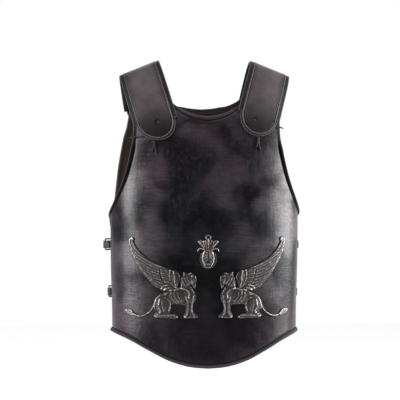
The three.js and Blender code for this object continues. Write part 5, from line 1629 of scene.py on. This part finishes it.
def chape_band(strap, name):
    """One strip that runs out on the inside, round the heel bar and back on the outside."""
    round_bar = WIRE_RADIUS + SEAT_GAP + CHAPE_LEATHER / 2
    turn = np.linspace(-math.pi * FOLD_OPENING, -math.pi * (2 - FOLD_OPENING), 22)
    loop = np.stack([round_bar * np.cos(turn), round_bar * np.sin(turn)], -1)
    neck = FOLD_NECK * round_bar
    flat = np.linspace(CHAPE_LENGTH, neck, 14)
    inner = np.stack([flat, np.full(14, -(CHAPE_LEATHER + CHAPE_LAYER_GAP) / 2)], -1)
    path = np.concatenate([inner, loop, inner[::-1] * [1, -1]])
    path = smooth_line(path, steps=3) + [strap.heel, -HEEL_DEPTH]
    band = strap_band(name, strap, path, np.full(len(path), CHAPE_WIDTH / 2), CHAPE_LEATHER)
    axes = strap.frame_at(strap.heel)
    low, high = -4 * CHAPE_LEATHER, SLOT_REACH * round_bar
    centre = strap.place(strap.heel, -HEEL_DEPTH, 0) + axes[0] * (low + high) / 2
    size = (high - low, 8 * CHAPE_LEATHER, CHAPE_SLOT_WIDTH)
    # The band meets itself inside the fold
    cut_slot(band, centre, axes, size, meets_itself=True)
    return band


def keeper_loop(strap, name):
    """A thin band bent over the billet, its feet let into the chape."""
    foot = -HEEL_DEPTH + CHAPE_LEATHER - KEEPER_SINK
    side = BILLET_WIDTH / 2 + SOFT_GAP + KEEPER_LEATHER / 2
    roof = BILLET_THICKNESS / 2 + SOFT_GAP + KEEPER_LEATHER / 2
    corner = KEEPER_CORNER
    turn = np.linspace(0, math.pi / 2, 7)
    quarter = corner * np.stack([np.cos(turn), np.sin(turn)], -1)
    right_corner = quarter + [side - corner, roof - corner]
    left_corner = right_corner[::-1] * [-1, 1]
    arch = np.concatenate([
        [(side, foot)], right_corner, [(0, roof + KEEPER_CROWN)], left_corner, [(-side, foot)],
    ])
    wide = np.linspace(-0.5, 0.5, 12) * KEEPER_LENGTH
    steps = unit(np.gradient(arch, axis=0))
    up = np.stack([steps[:, 1], -steps[:, 0]], -1)
    u = np.broadcast_to(strap.heel + KEEPER_SETBACK + wide, (len(arch), len(wide)))

    def lifted(lift):
        spots = arch + lift * up
        return strap.place(u, spots[:, 1:] + 0 * wide, spots[:, :1] + 0 * wide)

    points = lifted(0)
    rise = np.full(u.shape, KEEPER_LEATHER / 2)
    loop = leather_sheet(
        name, points, unit(lifted(0.1) - points), rise, KEEPER_LEATHER, KEEPER_ROUND_OUT,
        side_leather,
    )
    edge = (KEEPER_LENGTH / 2 - np.abs(wide)) + 0 * arch[:, :1]
    darkening = np.ones(len(loop.data.vertices))
    darkening[edge.size : 2 * edge.size] = (1 - shade(edge, 0.4, 1.4)).ravel()
    store(loop, "darker_tone", darkening)
    store(loop, "lightened", np.zeros(len(darkening)))
    return loop


side_straps = {
    f"{level}_{side}": SideStrap(level, side) for side in SIDES for level in SIDE_STRAP_DROPS
}
for name, strap in side_straps.items():
    for kind, band, body in (
        ("billet", billet_band(strap, f"side_billet_{name}"), "front"),
        ("chape", chape_band(strap, f"side_chape_{name}"), "back"),
        ("keeper", keeper_loop(strap, f"side_keeper_{name}"), "back"),
    ):
        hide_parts(f"{kind}_{name}")
        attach(band, body)


# Buckles: each frame is brass wire bent into a rounded rectangle and closed under the chape's fold,
# and each prong is a shorter wire coiled once round the heel bar. Both have darkened with age.

FRAME_REACH = math.sqrt(FRAME_LENGTH**2 - (HEEL_DEPTH + FRONT_BAR_RISE) ** 2)
PRONG_EYE = WIRE_RADIUS + SEAT_GAP
PRONG_WIRE_RADIUS = 0.95
BRASS_DARK = "#494540"
BRASS_WORN = "#8a847a"
darkened_brass, tree = skin("age_darkened_brass")
place = add(tree, "ShaderNodeTexCoord").outputs["Object"]
# Wear in spots about 3 mm across, where the dark film has rubbed off
worn = add(tree, "ShaderNodeTexNoise", {
    "Scale": 330, "Detail": 4, "Roughness": 0.6, "Vector": place,
})
worn_steps = add(tree, "ShaderNodeMapRange", {"From Min": 0.5, "From Max": 0.68, "Value": worn})
colour = add(tree, "ShaderNodeMix", {
    "data_type": "RGBA", 6: linear(BRASS_DARK), 7: linear(BRASS_WORN), 0: worn_steps,
})
dull = add(tree, "ShaderNodeMapRange", {"To Min": 0.34, "To Max": 0.55, "Value": worn})
bump = add(tree, "ShaderNodeBump", {"Strength": 0.15, "Distance": 0.0002, "Height": worn})
surface = add(tree, "ShaderNodeBsdfPrincipled", {
    "Metallic": 1.0, "Base Color": colour, "Roughness": dull, "Normal": bump,
})
add(tree, "ShaderNodeOutputMaterial", {"Surface": surface})

# Wire of an oval section, swept along a path and closed at its ends
wire_tree, ins = shape_tree("bent_wire", ["Half Thickness", "Half Width"])
path = add(wire_tree, "GeometryNodeMeshToCurve", {"Mesh": ins["Geometry"]})
section = add(wire_tree, "GeometryNodeCurvePrimitiveCircle", {"Resolution": 14, "Radius": 1.0})
oval_size = add(wire_tree, "ShaderNodeCombineXYZ", {
    "Z": 1.0, "X": ins["Half Width"], "Y": ins["Half Thickness"],
})
oval_section = add(wire_tree, "GeometryNodeTransform", {0: section, "Scale": oval_size})
swept = add(wire_tree, "GeometryNodeCurveToMesh", {
    "Fill Caps": True, "Curve": path, "Profile Curve": oval_section,
})
finish_tree(wire_tree, swept, ins["Material"])


def bent_wire(name, points, material, half_width, flatness=1, closed=False):
    runs = [(k, k + 1) for k in range(len(points) - 1)]
    if closed:
        runs.append((len(points) - 1, 0))
    sizes = {"Half Thickness": flatness * half_width, "Half Width": half_width}
    return outward(made_by(wire_tree, name, points, runs, material, sizes))


def frame_path():
    """Forward from the heel bar, out, and across, in the buckle's own axes."""
    corner = 1.5 * WIRE_RADIUS
    half = CHAPE_WIDTH / 2 + SOFT_GAP + WIRE_RADIUS - corner
    far = FRAME_LENGTH - corner
    points = []
    centres = [(far, half), (corner, half), (corner, -half), (far, -half)]
    for quarter, (forward, across) in enumerate(centres):
        angle = (quarter + np.linspace(0, 1, 9)) * math.pi / 2
        reach = (forward + corner * np.cos(angle)) / FRAME_LENGTH
        out = reach * (HEEL_DEPTH + FRONT_BAR_RISE)
        wide = across + corner * np.sin(angle)
        points += np.stack([-reach * FRAME_REACH, out, wide], -1).tolist()
    return np.array(points)


def prong_path():
    """A coil round the heel bar and an arm over the billet that rests on the front bar."""
    ring = PRONG_EYE + PRONG_WIRE_RADIUS
    rest = HEEL_DEPTH + FRONT_BAR_RISE + WIRE_RADIUS + SEAT_GAP + PRONG_WIRE_RADIUS
    knee = HEEL_DEPTH + BILLET_THICKNESS + PRONG_WIRE_RADIUS
    turn = np.radians(np.linspace(-205, 180, 30))
    coil = np.stack([ring * np.cos(turn), -ring * np.sin(turn)], -1)
    arm = smooth_line([
        (-ring, 0.6), (-ring - 0.1, 3.2), (-ring - 0.9, knee - 0.8), (-ring - 3, knee + 0.1),
        (-FRAME_REACH, rest), (-FRAME_REACH - WIRE_RADIUS, rest - 0.1),
    ], steps=8)
    path = np.concatenate([coil, arm])
    return np.concatenate([path, np.zeros((len(path), 1))], 1)


for name, strap in side_straps.items():
    heel = strap.place(strap.heel, -HEEL_DEPTH, 0)
    axes = strap.frame_at(strap.heel)
    for label, kind, path, radius in (
        ("buckle", "frame", frame_path(), WIRE_RADIUS),
        ("prong", "prong", prong_path(), PRONG_WIRE_RADIUS),
    ):
        points = heel + sum(path[:, k : k + 1] * axes[k] for k in range(3))
        closed = kind == "frame"
        wire = bent_wire(f"side_{label}_{name}", points, darkened_brass, radius, closed=closed)
        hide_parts(f"buckle_{kind}_{name}")
        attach(wire, f"{kind}_{name}")


# Rivets and washers: domed tubular rivets of the same darkened brass hold the side straps and the
# rear ends of the shoulder straps, and round washers back the castings' peened studs.

RIVET_SIZES = {
    "Head Radius": 3.6, "Head Rise": 1.2, "Shank Radius": 1.5, "Tail Radius": 2.8, "Tail Rise": 1.0,
}
# The leather's facets dip this far under its true curve
FACET_DIP = 0.8
CHAPE_RIVET_SETBACK = 8
REAR_RIVET_RISE = 22
REAR_RIVET_SPREAD = 18
WASHER_SIZES = {
    "Washer Radius": 5, "Washer Thickness": 1.2, "Stud Radius": 1.6, "Tail Radius": 2.6,
    "Tail Rise": 1.05,
}
STUD_LENGTH = 9
GRIFFIN_STUDS = [(0.505, 0.185), (0.86, 0.29), (0.42, 0.55)]
PALMETTE_STUD = [(0, 0.3)]


def dome(tree, radius, rise, height=0.0):
    """A flattened ball with its middle at a height."""
    return add(tree, "GeometryNodeTransform", {
        0: add(tree, "GeometryNodeMeshUVSphere", {"Segments": 24, "Rings": 12, "Radius": 1.0}),
        "Scale": add(tree, "ShaderNodeCombineXYZ", {"X": radius, "Y": radius, "Z": rise}),
        "Translation": add(tree, "ShaderNodeCombineXYZ", {"Z": height}),
    })


def finish_row(tree, ins, parts):
    """The parts as one, at each point that goes in, turned to face the way stored there."""
    way = add(tree, "GeometryNodeInputNamedAttribute", {
        "data_type": "FLOAT_VECTOR", "Name": "facing",
    })
    whole = add(tree, "GeometryNodeJoinGeometry")
    for part in parts:
        tree.links.new(part.outputs[0], whole.inputs[0])
    row = add(tree, "GeometryNodeInstanceOnPoints", {
        "Points": ins["Geometry"], "Instance": whole,
        "Rotation": add(tree, "FunctionNodeAlignEulerToVector", {"axis": "Z", "Vector": way}),
    })
    finish_tree(tree, row, ins["Material"])


# Each spot gets a head, a shank through the grip and a set tail
rivet_tree, ins = shape_tree("row_of_rivets", [*RIVET_SIZES, "Grip"])
half_grip, whole_grip = (
    add(rivet_tree, "ShaderNodeMath", {"operation": "MULTIPLY", 0: ins["Grip"], 1: share})
    for share in (-0.5, -1.0)
)
shank = add(rivet_tree, "GeometryNodeMeshCylinder", {
    "Vertices": 16, "Radius": ins["Shank Radius"], "Depth": ins["Grip"],
})
finish_row(rivet_tree, ins, (
    dome(rivet_tree, ins["Head Radius"], ins["Head Rise"]),
    add(rivet_tree, "GeometryNodeTransform", {
        0: shank, "Translation": add(rivet_tree, "ShaderNodeCombineXYZ", {"Z": half_grip}),
    }),
    dome(rivet_tree, ins["Tail Radius"], ins["Tail Rise"], whole_grip),
))

chape_spots, billet_spots, strap_spots = [], [], []
for strap in side_straps.values():
    stop = strap.heel + CHAPE_LENGTH - CHAPE_RIVET_SETBACK
    for way in (1, -1):
        spot = strap.place(stop, CHAPE_LEATHER - HEEL_DEPTH, way * CHAPE_WIDTH / 4)
        chape_spots.append((spot, strap.frame_at(stop)[1]))
        spot = strap.place(BILLET_RIVET_SETBACK, BILLET_THICKNESS / 2, way * BILLET_WIDTH / 4)
        billet_spots.append((spot, strap.frame_at(BILLET_RIVET_SETBACK)[1]))
for side in SIDES:
    lying = strap_half(side, False)[2]
    for way in (-1, 1):
        under = lying(REAR_END[0] - REAR_RIVET_RISE, way * REAR_RIVET_SPREAD)
        out = body_normal(math.pi - turn_at(under[0], -under[2]), -under[2])
        strap_spots.append((under + out * (STRAP_SEAT + STRAP_THICKNESS), out))
side_ends = [f"{name}_{end}" for name in side_straps for end in ("top", "bottom")]
strap_ends = [f"{side}_{end}" for side in SIDES for end in ("inner", "outer")]
for kind, spots, leather, ends, body in (
    ("chape", chape_spots, 2 * CHAPE_LEATHER + CHAPE_GAP, side_ends, "back"),
    ("billet", billet_spots, BILLET_THICKNESS + SOFT_GAP, side_ends, "front"),
    ("strap", strap_spots, STRAP_THICKNESS + SOFT_GAP, strap_ends, "back"),
):
    places, ways = zip(*spots)
    sizes = {**RIVET_SIZES, "Grip": leather + PLATE_THICKNESS + FACET_DIP}
    row = made_by(rivet_tree, f"{kind}_rivet_row", places, [], darkened_brass, sizes, ways)
    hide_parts(*(f"{kind}_rivet_{end}" for end in ends))
    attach(row, body)

# A washer lies inside the plate, and the stud's peened tail stands on it
washer_tree, ins = shape_tree("washers_on_studs", WASHER_SIZES)
disc = add(washer_tree, "GeometryNodeMeshCylinder", {
    "Vertices": 32, "Radius": ins["Washer Radius"], "Depth": ins["Washer Thickness"],
})
stud = add(washer_tree, "GeometryNodeMeshCylinder", {
    "Vertices": 16, "Depth": STUD_LENGTH * MM, "Radius": ins["Stud Radius"],
})
peened = dome(washer_tree, ins["Tail Radius"], ins["Tail Rise"], ins["Washer Thickness"])
finish_row(washer_tree, ins, (disc, peened, stud))
griffin_studs = griffin_spots(GRIFFIN_STUDS)
spots = np.concatenate([griffin_studs, griffin_studs * [-1, 1], palmette_spots(PALMETTE_STUD)])
ways = -body_normal(turn_at(spots[:, 0], -spots[:, 1]), -spots[:, 1])
places = on_breastplate(spots, -PLATE_THICKNESS - SEAT_GAP - WASHER_SIZES["Washer Thickness"] / 2)
washers = made_by(washer_tree, "washer_set", places, [], darkened_brass, WASHER_SIZES, ways)
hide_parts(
    *(f"griffin_washer_{side}_{k}" for side in SIDES for k in (1, 2, 3)), "palmette_washer"
)
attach(washers, "front")


# Ties: round thongs of soft black leather. Under the end of each shoulder strap a knot leaves two
# short tails, and another thong runs from beside the strap over the armhole rim.

THONG_RADIUS = 1.4
TIE_LENGTH = 26
TIE_SPREAD = 5
TAIL_SHARE = 0.75
# The knot's half size across, down and out
KNOT_SIZES = (1.5, 1.1, 1.3)
TIE_OFFSETS = {"right": 109, "left": 104}
# How far the tilted round end hangs below its middle
TIE_SAGS = {"right": 0.8, "left": 2}
# Where the side thong leaves the round end, down from the ear
SIDE_THONG_ANGLES = {"right": math.radians(41), "left": math.radians(12)}
SIDE_THONG_FALL = 4
SIDE_THONG_GAP = 2
THONG_BLACK = "#171313"
THONG_WORN = "#3a3231"
thong_leather, tree = skin("soft_thong_leather")
place = add(tree, "ShaderNodeTexCoord").outputs["Object"]
# Fibres and scuffs about 1.5 mm long
scuffs = add(tree, "ShaderNodeTexNoise", {
    "Scale": 650, "Detail": 4, "Roughness": 0.7, "Vector": place,
})
scuff_steps = add(tree, "ShaderNodeMapRange", {"From Min": 0.45, "From Max": 0.7, "Value": scuffs})
colour = add(tree, "ShaderNodeMix", {
    "data_type": "RGBA", 6: linear(THONG_BLACK), 7: linear(THONG_WORN), 0: scuff_steps,
})
bump = add(tree, "ShaderNodeBump", {"Strength": 0.3, "Distance": 0.0003, "Height": scuffs})
surface = add(tree, "ShaderNodeBsdfPrincipled", {
    "Roughness": 0.62, "IOR": 1.45, "Base Color": colour, "Normal": bump,
})
add(tree, "ShaderNodeOutputMaterial", {"Surface": surface})


def joined(pieces, name):
    """One object out of several."""
    whole = bmesh.new()
    for piece in pieces:
        whole.from_mesh(piece.data)
    mesh = bpy.data.meshes.new(name)
    whole.to_mesh(mesh)
    whole.free()
    mesh.materials.append(pieces[0].data.materials[0])
    for piece in pieces:
        bpy.data.objects.remove(piece)
    return put(name, mesh)


for side, sign in SIDES.items():
    tie_x = sign * TIE_OFFSETS[side]
    top = FRONT_ENDS[side][0] + TIE_SAGS[side] + 2 * THONG_RADIUS + SOFT_GAP
    stand = THONG_RADIUS + SOFT_GAP
    turns = np.linspace(0, 2 * math.pi, 40)
    across, down, out = KNOT_SIZES
    # The knot is one turn of thong round the two tails, seen as a lumpy ball
    coil = on_breastplate(
        np.stack([tie_x + across * np.cos(turns), -(top + down * np.sin(2 * turns))], -1),
        stand + 1.0 + out * np.sin(turns),
    )
    strands = [bent_wire(f"tie_knot_{side}", coil[:-1], thong_leather, THONG_RADIUS, closed=True)]
    for way in (-1, 1):
        length = TIE_LENGTH * (1 if way > 0 else TAIL_SHARE)
        t = np.linspace(0, 1, 24)
        sway = 0.5 * way * np.sin(5 * t + sign)
        tail = on_breastplate(
            np.stack([tie_x + way * TIE_SPREAD * t**2 + sway * t, -(top + length * t)], -1),
            stand + THONG_RADIUS * (1 - t),
        )
        strands.append(
            bent_wire(f"tie_tail_{side}", tail, thong_leather, THONG_RADIUS, flatness=0.8)
        )
    tie = joined(strands, f"strap_tie_{side}")
    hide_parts(f"front_tie_{side}")

    angle = SIDE_THONG_ANGLES[side]
    end_half = (STRAP_WIDTH / 2 - STRAP_EAR_STEP) * math.cos(angle)
    point, _, _ = strap_half(side, True)
    leaves = point(1 + SIDE_THONG_GAP / end_half, 3 + angle / END_TURN)
    start, end, drop = abs(leaves[0]), TAB_HALF_WIDTH + THONG_RADIUS, -leaves[2]
    t = np.linspace(0, 1, 30)
    x = start + (end - start) * t
    climb = shade(x, end - 1.5 * LIP_WIDTH, end - 0.3 * LIP_WIDTH)
    crossing = on_breastplate(
        np.stack([sign * x, -(drop + SIDE_THONG_FALL * t + 0.4 * np.sin(7 * t))], -1),
        THONG_RADIUS + SEAT_GAP + LIP_RISE * climb,
    )
    thong = bent_wire(f"armhole_thong_{side}", crossing, thong_leather, THONG_RADIUS)
    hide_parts(f"side_thong_{side}")
    for piece in (tie, thong):
        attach(piece, "front")
